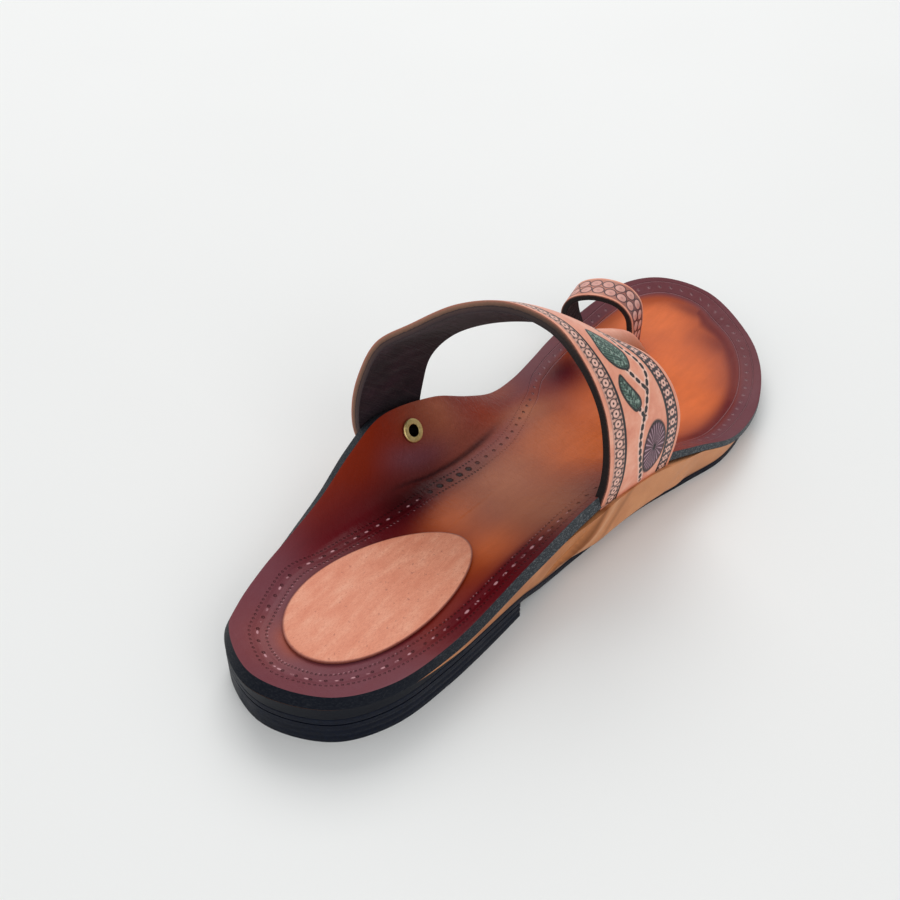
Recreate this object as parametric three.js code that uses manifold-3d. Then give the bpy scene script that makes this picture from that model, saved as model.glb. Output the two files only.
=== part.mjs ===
// A right-foot leather sandal: cupped footbed, one wide instep strap with a toe loop, low block heel.
// Millimetres, +Z up, toe towards +Y, little-toe side towards +X, origin under the middle of the sole.
import * as THREE from 'three';
import { mergeVertices } from 'three/addons/utils/BufferGeometryUtils.js';
import Module from 'manifold-3d';

const wasm = await Module();
wasm.setup();

// Driving dimensions
const LENGTH = 262; // footbed, heel to toe tip
const BALL_WIDTH = 90; // footbed across the ball of the foot
const HEEL_HEIGHT = 8; // block under the heel, at its back
const BREAST_Y = 82; // front face of the heel block, from the back of the heel
const TOE_SPRING = 6.2; // how far the toe of the outsole stands off the floor
const OUTSOLE = 2.5; // rubber outsole thickness
const WEDGE = 6.7; // midsole and its glue line under the middle of the foot
const FOOTBED = 4.2; // footbed leather thickness
const GAP = 0.3; // glue line between two pieces
const HEEL_CUP = 5; // rim of the footbed above its floor, at the back of the heel
const LATERAL_RISE = 13.9; // the same, on the little-toe side of the waist
const ARCH_FLANGE = 23.6; // the same, on the arch side
const TOE_RIM = 4.5; // the same, beside the big toe
const SOLE_INSET = 1.65; // outsole inside the edge of the footbed
const PAD_LENGTH = 70; // oval leather pad in the heel
const PAD_WIDTH = 39.5;
const PAD_THICKNESS = 1;
const PAD_X = 2.6; // its middle, out from the middle line
const PAD_Y = 50.5; // and forward from the back of the heel
const PAD_TURN = 8.5; // degrees, its narrow end towards the little toe
const PAD_TAPER = 0.17; // how much narrower it is in front than behind
const STRAP = 3.4; // instep strap thickness, lining and face leather together
const STRAP_SPAN = 88; // instep strap across the foot
const STRAP_REAR_RISE = 94; // top of its rear edge above the floor
const STRAP_FRONT_RISE = 72; // top of its front edge
const STRAP_PROUD = 1.7; // face of the strap outside the footbed edge, where it is tucked in
const STRAP_TUCK = 11; // how deep its end goes into the sole
const STRAP_CROWN = 1.2; // how far its middle bulges over its edges
const WALL_COVER = 1.6; // wedge cover outside the tucked strap
const LOOP = 2.6; // toe loop and thong thickness
const LOOP_BAND = 13; // toe loop width, along the foot
const LOOP_SPAN = 25.6; // between the two legs of the loop
const LOOP_RISE = 26.3; // top of the loop above the footbed
const THONG_BAND = 16; // thong width
const THONG_CROWN = 3.6; // how far its middle bulges over its edges
const EYELET_HEAD = 8.6; // hollow rivet, across its heads
const EYELET_BARREL = 5.8;
const EYELET_BORE = 4;
const EYELET_HEAD_THICKNESS = 0.9;
const EYELET_GRIP = 11.6; // between its heads, over the footbed and the strap

// Grid over the sole: rows from heel to toe, columns from the middle line out to the edge
const ROWS = 38;
const BASE_COLUMNS = 6; // columns that lie on the wedge
const RIM_COLUMNS = 2; // columns that stand free of it
const SPINE_SHARE = 0.86; // length of the middle line of the grid

// Edge of the footbed, seen from above. along: share of LENGTH from the heel. across: share of BALL_WIDTH
// from the middle line. lip: rise of the edge over the floor of the footbed.
const HEEL_TIP = { along: 0, across: -0.033, lip: HEEL_CUP };
const TOE_TIP = { along: 1, across: -0.06, lip: 0.45 * TOE_RIM };
const LATERAL_EDGE = [
  { along: 0.03, across: 0.216, lip: 0.9 * HEEL_CUP },
  { along: 0.089, across: 0.333, lip: 0.68 * HEEL_CUP },
  { along: 0.178, across: 0.377, lip: 0.22 * LATERAL_RISE },
  { along: 0.326, across: 0.381, lip: 0.55 * LATERAL_RISE },
  { along: 0.444, across: 0.391, lip: 0.9 * LATERAL_RISE },
  { along: 0.563, across: 0.426, lip: LATERAL_RISE },
  { along: 0.652, across: 0.486, lip: 0.76 * LATERAL_RISE },
  { along: 0.725, across: 0.531, lip: 0.34 * LATERAL_RISE },
  { along: 0.8, across: 0.508, lip: 0.2 * TOE_RIM },
  { along: 0.859, across: 0.454, lip: 0.16 * TOE_RIM },
  { along: 0.919, across: 0.35, lip: 0.16 * TOE_RIM },
  { along: 0.962, across: 0.211, lip: 0.18 * TOE_RIM },
];
const MEDIAL_EDGE = [
  { along: 0.03, across: -0.232, lip: 0.96 * HEEL_CUP },
  { along: 0.059, across: -0.282, lip: 0.92 * HEEL_CUP },
  { along: 0.118, across: -0.342, lip: 0.82 * HEEL_CUP },
  { along: 0.178, across: -0.37, lip: 0.25 * ARCH_FLANGE },
  { along: 0.237, across: -0.383, lip: 0.45 * ARCH_FLANGE },
  { along: 0.298, across: -0.398, lip: 0.79 * ARCH_FLANGE },
  { along: 0.356, across: -0.413, lip: ARCH_FLANGE },
  { along: 0.415, across: -0.414, lip: 0.9 * ARCH_FLANGE },
  { along: 0.473, across: -0.411, lip: 0.67 * ARCH_FLANGE },
  { along: 0.534, across: -0.402, lip: 0.32 * ARCH_FLANGE },
  { along: 0.592, across: -0.402, lip: 0.06 * ARCH_FLANGE },
  { along: 0.649, across: -0.418, lip: 0.01 * ARCH_FLANGE },
  { along: 0.71, across: -0.444, lip: 0.07 * TOE_RIM },
  { along: 0.763, across: -0.463, lip: 0.27 * TOE_RIM },
  { along: 0.828, across: -0.463, lip: 0.78 * TOE_RIM },
  { along: 0.9, across: -0.444, lip: TOE_RIM },
  { along: 0.95, across: -0.4, lip: 0.95 * TOE_RIM },
  { along: 0.986, across: -0.29, lip: 0.75 * TOE_RIM },
];

// Where the footbed folds up (fold) and how far out the wedge carries it (base), as shares of the way from
// the middle line to the edge. soft: how soft the fold is. inset: how far inside the edge the sole lies, as a
// share of SOLE_INSET. pared: how thin the footbed is at its edge, as a share of FOOTBED.
const LATERAL_FOLD = [
  { along: 0, fold: 0.6, soft: 0.3, base: 0.985, inset: -0.6, pared: 1 },
  { along: 0.05, fold: 0.6, soft: 0.3, base: 0.985, inset: -0.4, pared: 1 },
  { along: 0.2, fold: 0.6, soft: 0.4, base: 0.985, inset: 0.1, pared: 1 },
  { along: 0.3, fold: 0.5, soft: 0.5, base: 0.985, inset: 0.2, pared: 1 },
  { along: 0.42, fold: 0.43, soft: 0.5, base: 0.985, inset: 1, pared: 1 },
  { along: 0.57, fold: 0.4, soft: 0.5, base: 0.985, inset: 1, pared: 0.95 },
  { along: 0.68, fold: 0.44, soft: 0.5, base: 0.985, inset: 1, pared: 0.72 },
  { along: 0.8, fold: 0.53, soft: 0.45, base: 0.985, inset: 1, pared: 0.75 },
  { along: 1, fold: 0.65, soft: 0.3, base: 0.985, inset: 0.3, pared: 0.9 },
];
const MEDIAL_FOLD = [
  { along: 0, fold: 0.6, soft: 0.3, base: 0.985, inset: -0.6, pared: 1 },
  { along: 0.03, fold: 0.63, soft: 0.3, base: 0.985, inset: -1.6, pared: 1 },
  { along: 0.12, fold: 0.72, soft: 0.3, base: 0.985, inset: -0.8, pared: 1 },
  { along: 0.19, fold: 0.77, soft: 0.22, base: 0.96, inset: 0.1, pared: 1 },
  { along: 0.26, fold: 0.74, soft: 0.2, base: 0.8, inset: 0.3, pared: 1 },
  { along: 0.35, fold: 0.655, soft: 0.16, base: 0.69, inset: 0.7, pared: 1 },
  { along: 0.42, fold: 0.56, soft: 0.16, base: 0.6, inset: 1, pared: 1 },
  { along: 0.49, fold: 0.54, soft: 0.2, base: 0.58, inset: 1, pared: 1 },
  { along: 0.56, fold: 0.64, soft: 0.3, base: 0.68, inset: 1, pared: 1 },
  { along: 0.64, fold: 0.76, soft: 0.4, base: 0.88, inset: 1, pared: 0.95 },
  { along: 0.72, fold: 0.8, soft: 0.4, base: 0.985, inset: 0.6, pared: 0.9 },
  { along: 1, fold: 0.65, soft: 0.3, base: 0.985, inset: 0.3, pared: 0.9 },
];

// Side profile of the sole: rise of the outsole off the floor at the heel and at the toe, and the height that
// the wedge adds, as shares of HEEL_HEIGHT, TOE_SPRING and WEDGE.
const PROFILE = [
  { along: 0, heel: 1, toe: 0, wedge: 0.22 },
  { along: 0.15, heel: 1, toe: 0, wedge: 0.22 },
  { along: 0.25, heel: 0.94, toe: 0, wedge: 0.23 },
  { along: 0.313, heel: 0.76, toe: 0, wedge: 0.36 },
  { along: 0.36, heel: 0.36, toe: 0, wedge: 0.76 },
  { along: 0.41, heel: 0.09, toe: 0, wedge: 1 },
  { along: 0.47, heel: 0, toe: 0, wedge: 1 },
  { along: 0.59, heel: 0, toe: 0, wedge: 0.56 },
  { along: 0.65, heel: 0, toe: 0, wedge: 0.26 },
  { along: 0.71, heel: 0, toe: 0, wedge: 0.14 },
  { along: 0.77, heel: 0, toe: 0, wedge: 0.1 },
  { along: 0.82, heel: 0, toe: 0, wedge: 0 },
  { along: 0.85, heel: 0, toe: 0.01, wedge: 0 },
  { along: 0.9, heel: 0, toe: 0.15, wedge: 0 },
  { along: 0.955, heel: 0, toe: 0.54, wedge: 0 },
  { along: 1, heel: 0, toe: 1, wedge: 0 },
];
const WEDGE_END = 0.765; // share of LENGTH where the wedge runs out
const MERGE_START = 0.78; // from here on the outsole lies straight under the footbed
const MERGE_END = 0.83;

// Instep strap. Its two edges rise in planes that cross the foot aslant. across: share of half STRAP_SPAN.
// rear and front: rise of that edge, as shares of STRAP_REAR_RISE and STRAP_FRONT_RISE.
const STRAP_REAR = { lateral: 0.456, medial: 0.336 }; // where its rear edge meets the sole, shares of LENGTH
const STRAP_FRONT = { lateral: 0.589, medial: 0.457 };
const STRAP_LEAN = 0.08; // forward lean of both edges, per height
const STRAP_SECTIONS = [
  { rearAcross: 0.868, rear: 0.353, frontAcross: 0.968, front: 0.43 },
  { rearAcross: 0.848, rear: 0.49, frontAcross: 0.952, front: 0.599 },
  { rearAcross: 0.766, rear: 0.66, frontAcross: 0.843, front: 0.763 },
  { rearAcross: 0.591, rear: 0.83, frontAcross: 0.68, front: 0.871 },
  { rearAcross: 0.364, rear: 0.956, frontAcross: 0.409, front: 0.935 },
  { rearAcross: 0.057, rear: 1.002, frontAcross: 0.091, front: 0.993 },
  { rearAcross: -0.266, rear: 0.963, frontAcross: -0.182, front: 0.993 },
  { rearAcross: -0.598, rear: 0.85, frontAcross: -0.5, front: 0.938 },
  { rearAcross: -0.83, rear: 0.755, frontAcross: -0.75, front: 0.84 },
  { rearAcross: -0.959, rear: 0.606, frontAcross: -0.92, front: 0.694 },
  { rearAcross: -1.009, rear: 0.463, frontAcross: -0.982, front: 0.528 },
];
// The arch end of the strap lies outside the flange. out: share of the way from the middle line to the edge.
// clear: how far off the flange it stands, as a share of STRAP_CLEAR.
const STRAP_CLEAR = 1.9;
const STRAP_END = [
  { out: 0.97, clear: 1 },
  { out: 0.88, clear: 0.7 },
  { out: 0.8, clear: 0.3 },
  { out: 0.73, clear: 0.3 },
];

// Toe loop, seen from the heel. across: share of LOOP_SPAN from the inner leg. rise: share of LOOP_RISE.
// ahead: share of LOOP_SHIFT that the outer leg stands in front of the inner one.
const LOOP_FOOT = { along: 0.77, across: -0.385 }; // inner leg, shares of LENGTH and BALL_WIDTH
const LOOP_TURN = 14; // the loop opens this many degrees towards the big toe
const LOOP_SHIFT = 4.6;
const LOOP_SECTIONS = [
  { across: 0, rise: 0.12, ahead: 0 },
  { across: -0.1, rise: 0.38, ahead: 0.05 },
  { across: -0.13, rise: 0.65, ahead: 0.12 },
  { across: -0.02, rise: 0.86, ahead: 0.25 },
  { across: 0.22, rise: 0.98, ahead: 0.4 },
  { across: 0.5, rise: 1, ahead: 0.6 },
  { across: 0.76, rise: 0.93, ahead: 0.75 },
  { across: 0.94, rise: 0.73, ahead: 0.92 },
  { across: 1, rise: 0.45, ahead: 1 },
  { across: 1, rise: 0.15, ahead: 1 },
];

// Thong from the front edge of the strap down to the outer leg of the loop. reach: share of the way to that
// leg. rise: share of STRAP_FRONT_RISE. round: share of THONG_CROWN.
const THONG_ACROSS = 0.2; // where it leaves the strap, share of half STRAP_SPAN
const THONG_SECTIONS = [
  { reach: -0.1, rise: 0.985, round: 0 },
  { reach: -0.02, rise: 0.935, round: 0 },
  { reach: 0.08, rise: 0.88, round: 0.2 },
  { reach: 0.3, rise: 0.75, round: 0.6 },
  { reach: 0.55, rise: 0.59, round: 1 },
  { reach: 0.78, rise: 0.42, round: 1 },
  { reach: 0.92, rise: 0.28, round: 0.7 },
  { reach: 1, rise: 0.17, round: 0.2 },
  { reach: 1, rise: 0.12, round: 0 },
];
const THONG_BITE = 1.6; // how deep the thong and the loop's outer leg go into each other
const THONG_ASIDE = 2.5; // how far its middle stands outside that leg's face

const EYELET_ALONG = 0.395; // hollow rivet in the arch flange
const EYELET_SHARE = 0.852;

const LATERAL = 1;
const MEDIAL = -1;

// A smooth function of along through one column of a table
function column(rows, key) {
  const slope = (i) => {
    const a = rows[Math.max(i - 1, 0)];
    const b = rows[Math.min(i + 1, rows.length - 1)];
    return (b[key] - a[key]) / (b.along - a.along);
  };
  return (along) => {
    let i = 0;
    while (i < rows.length - 2 && along > rows[i + 1].along) i++;
    const a = rows[i];
    const b = rows[i + 1];
    const width = b.along - a.along;
    const t = THREE.MathUtils.clamp((along - a.along) / width, 0, 1);
    const flat = Math.abs(b[key] - a[key]) < 1e-9;
    const ma = flat ? 0 : slope(i) * width;
    const mb = flat ? 0 : slope(i + 1) * width;
    const fromA = (2 * t ** 3 - 3 * t ** 2 + 1) * a[key] + (t ** 3 - 2 * t ** 2 + t) * ma;
    const fromB = (3 * t ** 2 - 2 * t ** 3) * b[key] + (t ** 3 - t ** 2) * mb;
    return fromA + fromB;
  };
}

const profileHeel = column(PROFILE, 'heel');
const profileToe = column(PROFILE, 'toe');
const profileWedge = column(PROFILE, 'wedge');
const FOLD_KEYS = ['fold', 'soft', 'base', 'inset', 'pared'];
const foldColumns = (rows) => Object.fromEntries(FOLD_KEYS.map((key) => [key, column(rows, key)]));
const foldTables = { [LATERAL]: foldColumns(LATERAL_FOLD), [MEDIAL]: foldColumns(MEDIAL_FOLD) };

// Heights of the outsole's underside and of the footbed's floor over the middle line
function undersideAt(y) {
  return profileHeel(y / LENGTH) * (HEEL_HEIGHT + GAP) + profileToe(y / LENGTH) * TOE_SPRING;
}

function floorAt(y) {
  const wedge = Math.max(profileWedge(y / LENGTH), 0) * WEDGE;
  return undersideAt(y) + OUTSOLE + GAP + wedge + FOOTBED;
}

// The closed edge of the footbed: x and y are its plan, z is its lip
const edgeRow = (row) => new THREE.Vector3(row.across * BALL_WIDTH, row.along * LENGTH, row.lip);
const edgePoints = [HEEL_TIP, ...LATERAL_EDGE, TOE_TIP, ...MEDIAL_EDGE.toReversed()].map(edgeRow);
const edgeCurve = new THREE.CatmullRomCurve3(edgePoints, true, 'centripetal');
edgeCurve.arcLengthDivisions = 1240;
const edgeLengths = edgeCurve.getLengths();
const toeIndex = Math.round(((LATERAL_EDGE.length + 1) / edgePoints.length) * edgeCurve.arcLengthDivisions);
const TOE_U = edgeLengths[toeIndex] / edgeLengths.at(-1);

// t runs from the heel tip, 0, to the toe tip, 1, along either side
function edgeAt(side, t) {
  const u = side === LATERAL ? t * TOE_U : 1 - t * (1 - TOE_U);
  return edgeCurve.getPointAt(THREE.MathUtils.clamp(u, 0, 1));
}

function spineAt(t) {
  const y = (edgeAt(LATERAL, t).y + edgeAt(MEDIAL, t).y) / 2;
  return new THREE.Vector2(0, LENGTH / 2 + (y - LENGTH / 2) * SPINE_SHARE);
}

const hinge = (x, soft) => (x + Math.sqrt(x * x + soft * soft)) / 2;

// How much of the lip is reached at the share r of the way from the middle line to the edge
function rampAt(side, along, r) {
  const fold = foldTables[side].fold(along);
  const soft = foldTables[side].soft(along);
  const x = (r - fold) / (1 - fold);
  const start = hinge(-fold / (1 - fold), soft);
  return (hinge(x, soft) - start) / (hinge(1, soft) - start);
}

// Top face of the footbed
function bedAt(side, t, r) {
  const edge = edgeAt(side, t);
  const spine = spineAt(t);
  const x = spine.x + (edge.x - spine.x) * r;
  const y = spine.y + (edge.y - spine.y) * r;
  return new THREE.Vector3(x, y, floorAt(y) + edge.z * rampAt(side, edge.y / LENGTH, r));
}

// Normal of that face, pointing up and in
function bedNormalAt(side, t, r) {
  const step = 0.004;
  const ahead = bedAt(side, Math.min(t + step, 1), r).sub(bedAt(side, Math.max(t - step, 0), r));
  const out = bedAt(side, t, Math.min(r + step, 1)).sub(bedAt(side, t, r - step));
  return out.cross(ahead).multiplyScalar(side).normalize();
}

// The t at which a side's edge passes a given y
function tAtY(side, y) {
  let low = 0;
  let high = 1;
  for (let i = 0; i < 40; i++) {
    const middle = (low + high) / 2;
    if (edgeAt(side, middle).y < y) low = middle;
    else high = middle;
  }
  return (low + high) / 2;
}

// Height of the footbed's face over a point of the plan
function bedHeightAt(x, y) {
  const side = x < 0 ? MEDIAL : LATERAL;
  const edge = edgeAt(side, tAtY(side, y));
  return floorAt(y) + edge.z * rampAt(side, y / LENGTH, x / edge.x);
}

// Shares of the way out to the edge for one row of the grid
function columnShares(side, t) {
  const base = foldTables[side].base(edgeAt(side, t).y / LENGTH);
  const shares = [];
  for (let k = 0; k <= BASE_COLUMNS; k++) shares.push((base * k) / BASE_COLUMNS);
  for (let k = 1; k <= RIM_COLUMNS; k++) shares.push(base + ((1 - base) * k) / RIM_COLUMNS);
  return shares;
}

// Rows of a grid from the arch edge over the middle line to the little-toe edge
function gridRows(rows, columns, pointAt) {
  const grid = [];
  for (let j = 0; j <= rows; j++) {
    const row = [];
    for (let k = columns; k > 0; k--) row.push(pointAt(MEDIAL, j, k));
    for (let k = 0; k <= columns; k++) row.push(pointAt(LATERAL, j, k));
    grid.push(row);
  }
  return grid;
}

function gridIndex(grid) {
  const wide = grid[0].length;
  const index = [];
  for (let j = 0; j + 1 < grid.length; j++) {
    for (let k = 0; k + 1 < wide; k++) {
      const a = j * wide + k;
      index.push(a, a + 1, a + wide + 1, a, a + wide + 1, a + wide);
    }
  }
  return index;
}

const keyOf = (p) => p.toArray().map((v) => v.toFixed(3)).join();

// Smooth normals of an open grid, whose points may coincide
function gridNormals(grid) {
  const sums = new Map();
  const points = grid.flat();
  const index = gridIndex(grid);
  for (let i = 0; i < index.length; i += 3) {
    const [a, b, c] = [0, 1, 2].map((n) => points[index[i + n]]);
    const normal = b.clone().sub(a).cross(c.clone().sub(a));
    for (const p of [a, b, c]) {
      const sum = sums.get(keyOf(p)) ?? new THREE.Vector3();
      sums.set(keyOf(p), sum.add(normal));
    }
  }
  return grid.map((row) => row.map((p) => sums.get(keyOf(p)).clone().normalize()));
}

const offsetGrid = (grid, normals, distance) =>
  grid.map((row, j) => row.map((p, k) => p.clone().addScaledVector(normals[j][k], distance)));

// A closed solid between two grids of the same layout, the first one on top. Its side wall has this many
// levels, and wallAt may move a point of the wall.
const straight = (above, below, level) => above.clone().lerp(below, level);
function between(top, bottom, levels = 1, wallAt = straight) {
  const ids = new Map();
  const above = [];
  const below = [];
  const idOf = top.flat().map((p, n) => {
    const key = keyOf(p);
    if (!ids.has(key)) {
      ids.set(key, above.length);
      above.push(p);
      below.push(bottom.flat()[n]);
    }
    return ids.get(key);
  });
  const faces = [];
  const all = gridIndex(top).map((n) => idOf[n]);
  for (let i = 0; i < all.length; i += 3) {
    const [a, b, c] = all.slice(i, i + 3);
    if (a !== b && b !== c && c !== a) faces.push([a, b, c]);
  }
  const edges = new Map(faces.flatMap(([a, b, c]) => [[a, b], [b, c], [c, a]]).map((e) => [e.join(), e]));
  const rim = [...edges.values()].filter(([a, b]) => !edges.has([b, a].join()));
  const points = [...above.map((p) => p.clone()), ...below];
  const index = faces.flatMap(([a, b, c]) => [a, b, c, a + above.length, c + above.length, b + above.length]);
  const rings = new Map();
  for (const [a] of rim) {
    points[a].copy(wallAt(above[a], below[a], 0));
    const ring = [a];
    for (let level = 1; level < levels; level++) {
      ring.push(points.length);
      points.push(wallAt(above[a], below[a], level / levels));
    }
    rings.set(a, [...ring, a + above.length]);
  }
  for (const [a, b] of rim) {
    const [left, right] = [rings.get(a), rings.get(b)];
    for (let level = 0; level < levels; level++) {
      index.push(right[level], left[level], left[level + 1]);
      index.push(right[level], left[level + 1], right[level + 1]);
    }
  }
  const geometry = new THREE.BufferGeometry();
  geometry.setAttribute('position', new THREE.Float32BufferAttribute(points.flatMap((p) => p.toArray()), 3));
  geometry.setIndex(index);
  return geometry;
}

// The same face carried both ways along its normals, as a solid
function sheet(grid, over, under) {
  const normals = gridNormals(grid);
  return between(offsetGrid(grid, normals, over), offsetGrid(grid, normals, -under));
}

function toSolid(geometry) {
  const bare = geometry.clone();
  bare.deleteAttribute('normal');
  bare.deleteAttribute('uv');
  const merged = mergeVertices(bare, 1e-4);
  const index = [...merged.index.array];
  const faces = [];
  for (let i = 0; i < index.length; i += 3) {
    const [a, b, c] = index.slice(i, i + 3);
    if (a !== b && b !== c && c !== a) faces.push(a, b, c);
  }
  return new wasm.Manifold(new wasm.Mesh({
    numProp: 3,
    vertProperties: new Float32Array(merged.attributes.position.array),
    triVerts: new Uint32Array(faces),
  }));
}

function toGeometry(solid) {
  const mesh = solid.getMesh();
  const geometry = new THREE.BufferGeometry();
  geometry.setAttribute('position', new THREE.BufferAttribute(new Float32Array(mesh.vertProperties), 3));
  geometry.setIndex(new THREE.BufferAttribute(new Uint32Array(mesh.triVerts), 1));
  return geometry;
}

// The face of the footbed as a grid, with the wedge's share of the columns first
const COLUMNS = BASE_COLUMNS + RIM_COLUMNS;
const bed = gridRows(ROWS, COLUMNS, (side, j, k) => bedAt(side, j / ROWS, columnShares(side, j / ROWS)[k]));
const bedNormals = gridNormals(bed);
const overBase = (grid) => grid.map((row) => row.slice(RIM_COLUMNS, -RIM_COLUMNS));
const baseGrid = overBase(bed);
const baseNormals = overBase(bedNormals);
const middleY = (j) => (edgeAt(LATERAL, j / ROWS).y + edgeAt(MEDIAL, j / ROWS).y) / 2;

// The underside of the footbed, carried further down by extra. The leather is pared towards its edge.
const bedUnderside = (extra) => gridRows(ROWS, COLUMNS, (side, j, k) => {
  const t = j / ROWS;
  const column = COLUMNS + side * k;
  const share = columnShares(side, t)[k];
  const pared = foldTables[side].pared(edgeAt(side, t).y / LENGTH);
  const thickness = FOOTBED * THREE.MathUtils.lerp(1, pared, share ** 3);
  return bed[j][column].clone().addScaledVector(bedNormals[j][column], -(thickness + extra));
});

function makeFootbed() {
  return between(bed, bedUnderside(0));
}

// Top face of the outsole: a plain ramp behind, and straight under the footbed at the toe
function makeOutsoleTop() {
  const underBed = overBase(bedUnderside(GAP));
  const plain = gridRows(ROWS, BASE_COLUMNS, (side, j, k) => {
    const t = j / ROWS;
    const edge = edgeAt(side, t);
    const spine = spineAt(t);
    const out = new THREE.Vector2(edge.x, edge.y).sub(spine);
    const inset = foldTables[side].inset(edge.y / LENGTH) * SOLE_INSET;
    const base = columnShares(side, t)[BASE_COLUMNS] - inset / out.length();
    const at = out.multiplyScalar((base * k) / BASE_COLUMNS).add(spine);
    return new THREE.Vector3(at.x, at.y, undersideAt(at.y) + OUTSOLE);
  });
  return plain.map((row, j) => {
    const share = THREE.MathUtils.smoothstep(middleY(j), MERGE_START * LENGTH, MERGE_END * LENGTH);
    return row.map((p, k) => p.clone().lerp(underBed[j][k], share));
  });
}

const outsoleTop = makeOutsoleTop();
const lift = (grid, height) => grid.map((row) => row.map((p) => new THREE.Vector3(p.x, p.y, p.z + height)));

function makeOutsole() {
  const normals = gridNormals(outsoleTop);
  const bottom = outsoleTop.map((row, j) => {
    const share = THREE.MathUtils.smoothstep(middleY(j), MERGE_START * LENGTH, MERGE_END * LENGTH);
    return row.map((p, k) => {
      const down = new THREE.Vector3(0, 0, 1).lerp(normals[j][k], share).normalize();
      return p.clone().addScaledVector(down, -OUTSOLE);
    });
  });
  return between(outsoleTop, bottom);
}

// The wedge's side wall swells out round the tucked end of the strap
function wedgeWallAt(above, below, level) {
  const p = above.clone().lerp(below, level);
  const from = STRAP_REAR.lateral * LENGTH;
  const to = STRAP_FRONT.lateral * LENGTH;
  const fade = 2 * STRAP_TUCK;
  const rising = THREE.MathUtils.smoothstep(p.y, from - fade, from);
  const falling = THREE.MathUtils.smoothstep(to + fade - p.y, 0, fade);
  const window = rising * falling;
  if (p.x < 0 || window === 0) return p;
  const edge = edgeAt(LATERAL, tAtY(LATERAL, p.y));
  const swell = edge.x + STRAP_PROUD + GAP + WALL_COVER - p.x;
  p.x += Math.max(swell, 0) * window * (1 - THREE.MathUtils.smoothstep(level, 0.6, 1));
  return p;
}

function makeWedge() {
  const rows = bed.findIndex((_, j) => middleY(j) > WEDGE_END * LENGTH);
  const top = overBase(bedUnderside(GAP)).slice(0, rows);
  const bottom = lift(outsoleTop, GAP).slice(0, rows);
  return between(top, bottom, 5, wedgeWallAt);
}

function makeHeel() {
  const rows = bed.findIndex((_, j) => middleY(j) > BREAST_Y * 1.2);
  const top = lift(outsoleTop, -OUTSOLE - GAP).slice(0, rows);
  const bottom = top.map((row) => row.map((p) => new THREE.Vector3(p.x, p.y, 0)));
  const front = new THREE.BoxGeometry(2 * BALL_WIDTH, LENGTH, 8 * HEEL_HEIGHT);
  front.translate(0, BREAST_Y + LENGTH / 2, 0);
  return toSolid(between(top, bottom)).subtract(toSolid(front));
}

// Leather oval let in over the heel, broader behind
function makeHeelPad() {
  const outline = new THREE.Shape();
  const STEPS = 48;
  for (let i = 0; i < STEPS; i++) {
    const angle = (2 * Math.PI * i) / STEPS;
    const y = (PAD_LENGTH / 2) * Math.cos(angle);
    const x = (PAD_WIDTH / 2) * Math.sin(angle) * (1 - PAD_TAPER * Math.cos(angle));
    if (i === 0) outline.moveTo(x, y);
    else outline.lineTo(x, y);
  }
  const prism = new THREE.ExtrudeGeometry(outline, { depth: 10 * HEEL_HEIGHT, bevelEnabled: false });
  prism.rotateZ(THREE.MathUtils.degToRad(-PAD_TURN));
  prism.translate(PAD_X, PAD_Y, 0);
  const rows = bed.findIndex((_, j) => middleY(j) > PAD_Y + PAD_LENGTH);
  const low = offsetGrid(baseGrid, baseNormals, GAP).slice(0, rows);
  const high = offsetGrid(baseGrid, baseNormals, GAP + PAD_THICKNESS).slice(0, rows);
  return toSolid(between(high, low)).intersect(toSolid(prism));
}

// Points at equal steps along a smooth curve through the given ones
function along(points, steps) {
  const curve = new THREE.CatmullRomCurve3(points, false, 'centripetal');
  return curve.getSpacedPoints(steps);
}

// A point over the arch flange, this far outside its upper face
function outsideFlange(y, share, distance) {
  const t = tAtY(MEDIAL, y);
  return bedAt(MEDIAL, t, share).addScaledVector(bedNormalAt(MEDIAL, t, share), -distance);
}

// One edge of the instep strap's outer face, from its tucked end over the foot to the arch flange
function strapEdge(ends, acrossKey, riseKey, riseSize) {
  const [lateralY, medialY] = [ends.lateral * LENGTH, ends.medial * LENGTH];
  const edge = edgeAt(LATERAL, tAtY(LATERAL, lateralY));
  const rim = bedAt(LATERAL, tAtY(LATERAL, lateralY), 1).z;
  const outer = edge.x + STRAP_PROUD;
  const inner = edgeAt(MEDIAL, tAtY(MEDIAL, medialY)).x - FOOTBED;
  const low = rim - FOOTBED;
  const points = [
    new THREE.Vector3(outer - 0.8, lateralY, low - STRAP_TUCK),
    new THREE.Vector3(outer - 0.3, lateralY, low - STRAP_TUCK / 2),
    new THREE.Vector3(outer, lateralY, low),
  ];
  for (const row of STRAP_SECTIONS) {
    const x = (row[acrossKey] * STRAP_SPAN) / 2;
    const z = row[riseKey] * riseSize;
    const y = THREE.MathUtils.mapLinear(x, outer, inner, lateralY, medialY) + STRAP_LEAN * (z - low);
    points.push(new THREE.Vector3(x, y, z));
  }
  for (const row of STRAP_END) {
    points.push(outsideFlange(medialY, row.out, FOOTBED + row.clear * STRAP_CLEAR + STRAP));
  }
  return points;
}

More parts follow.
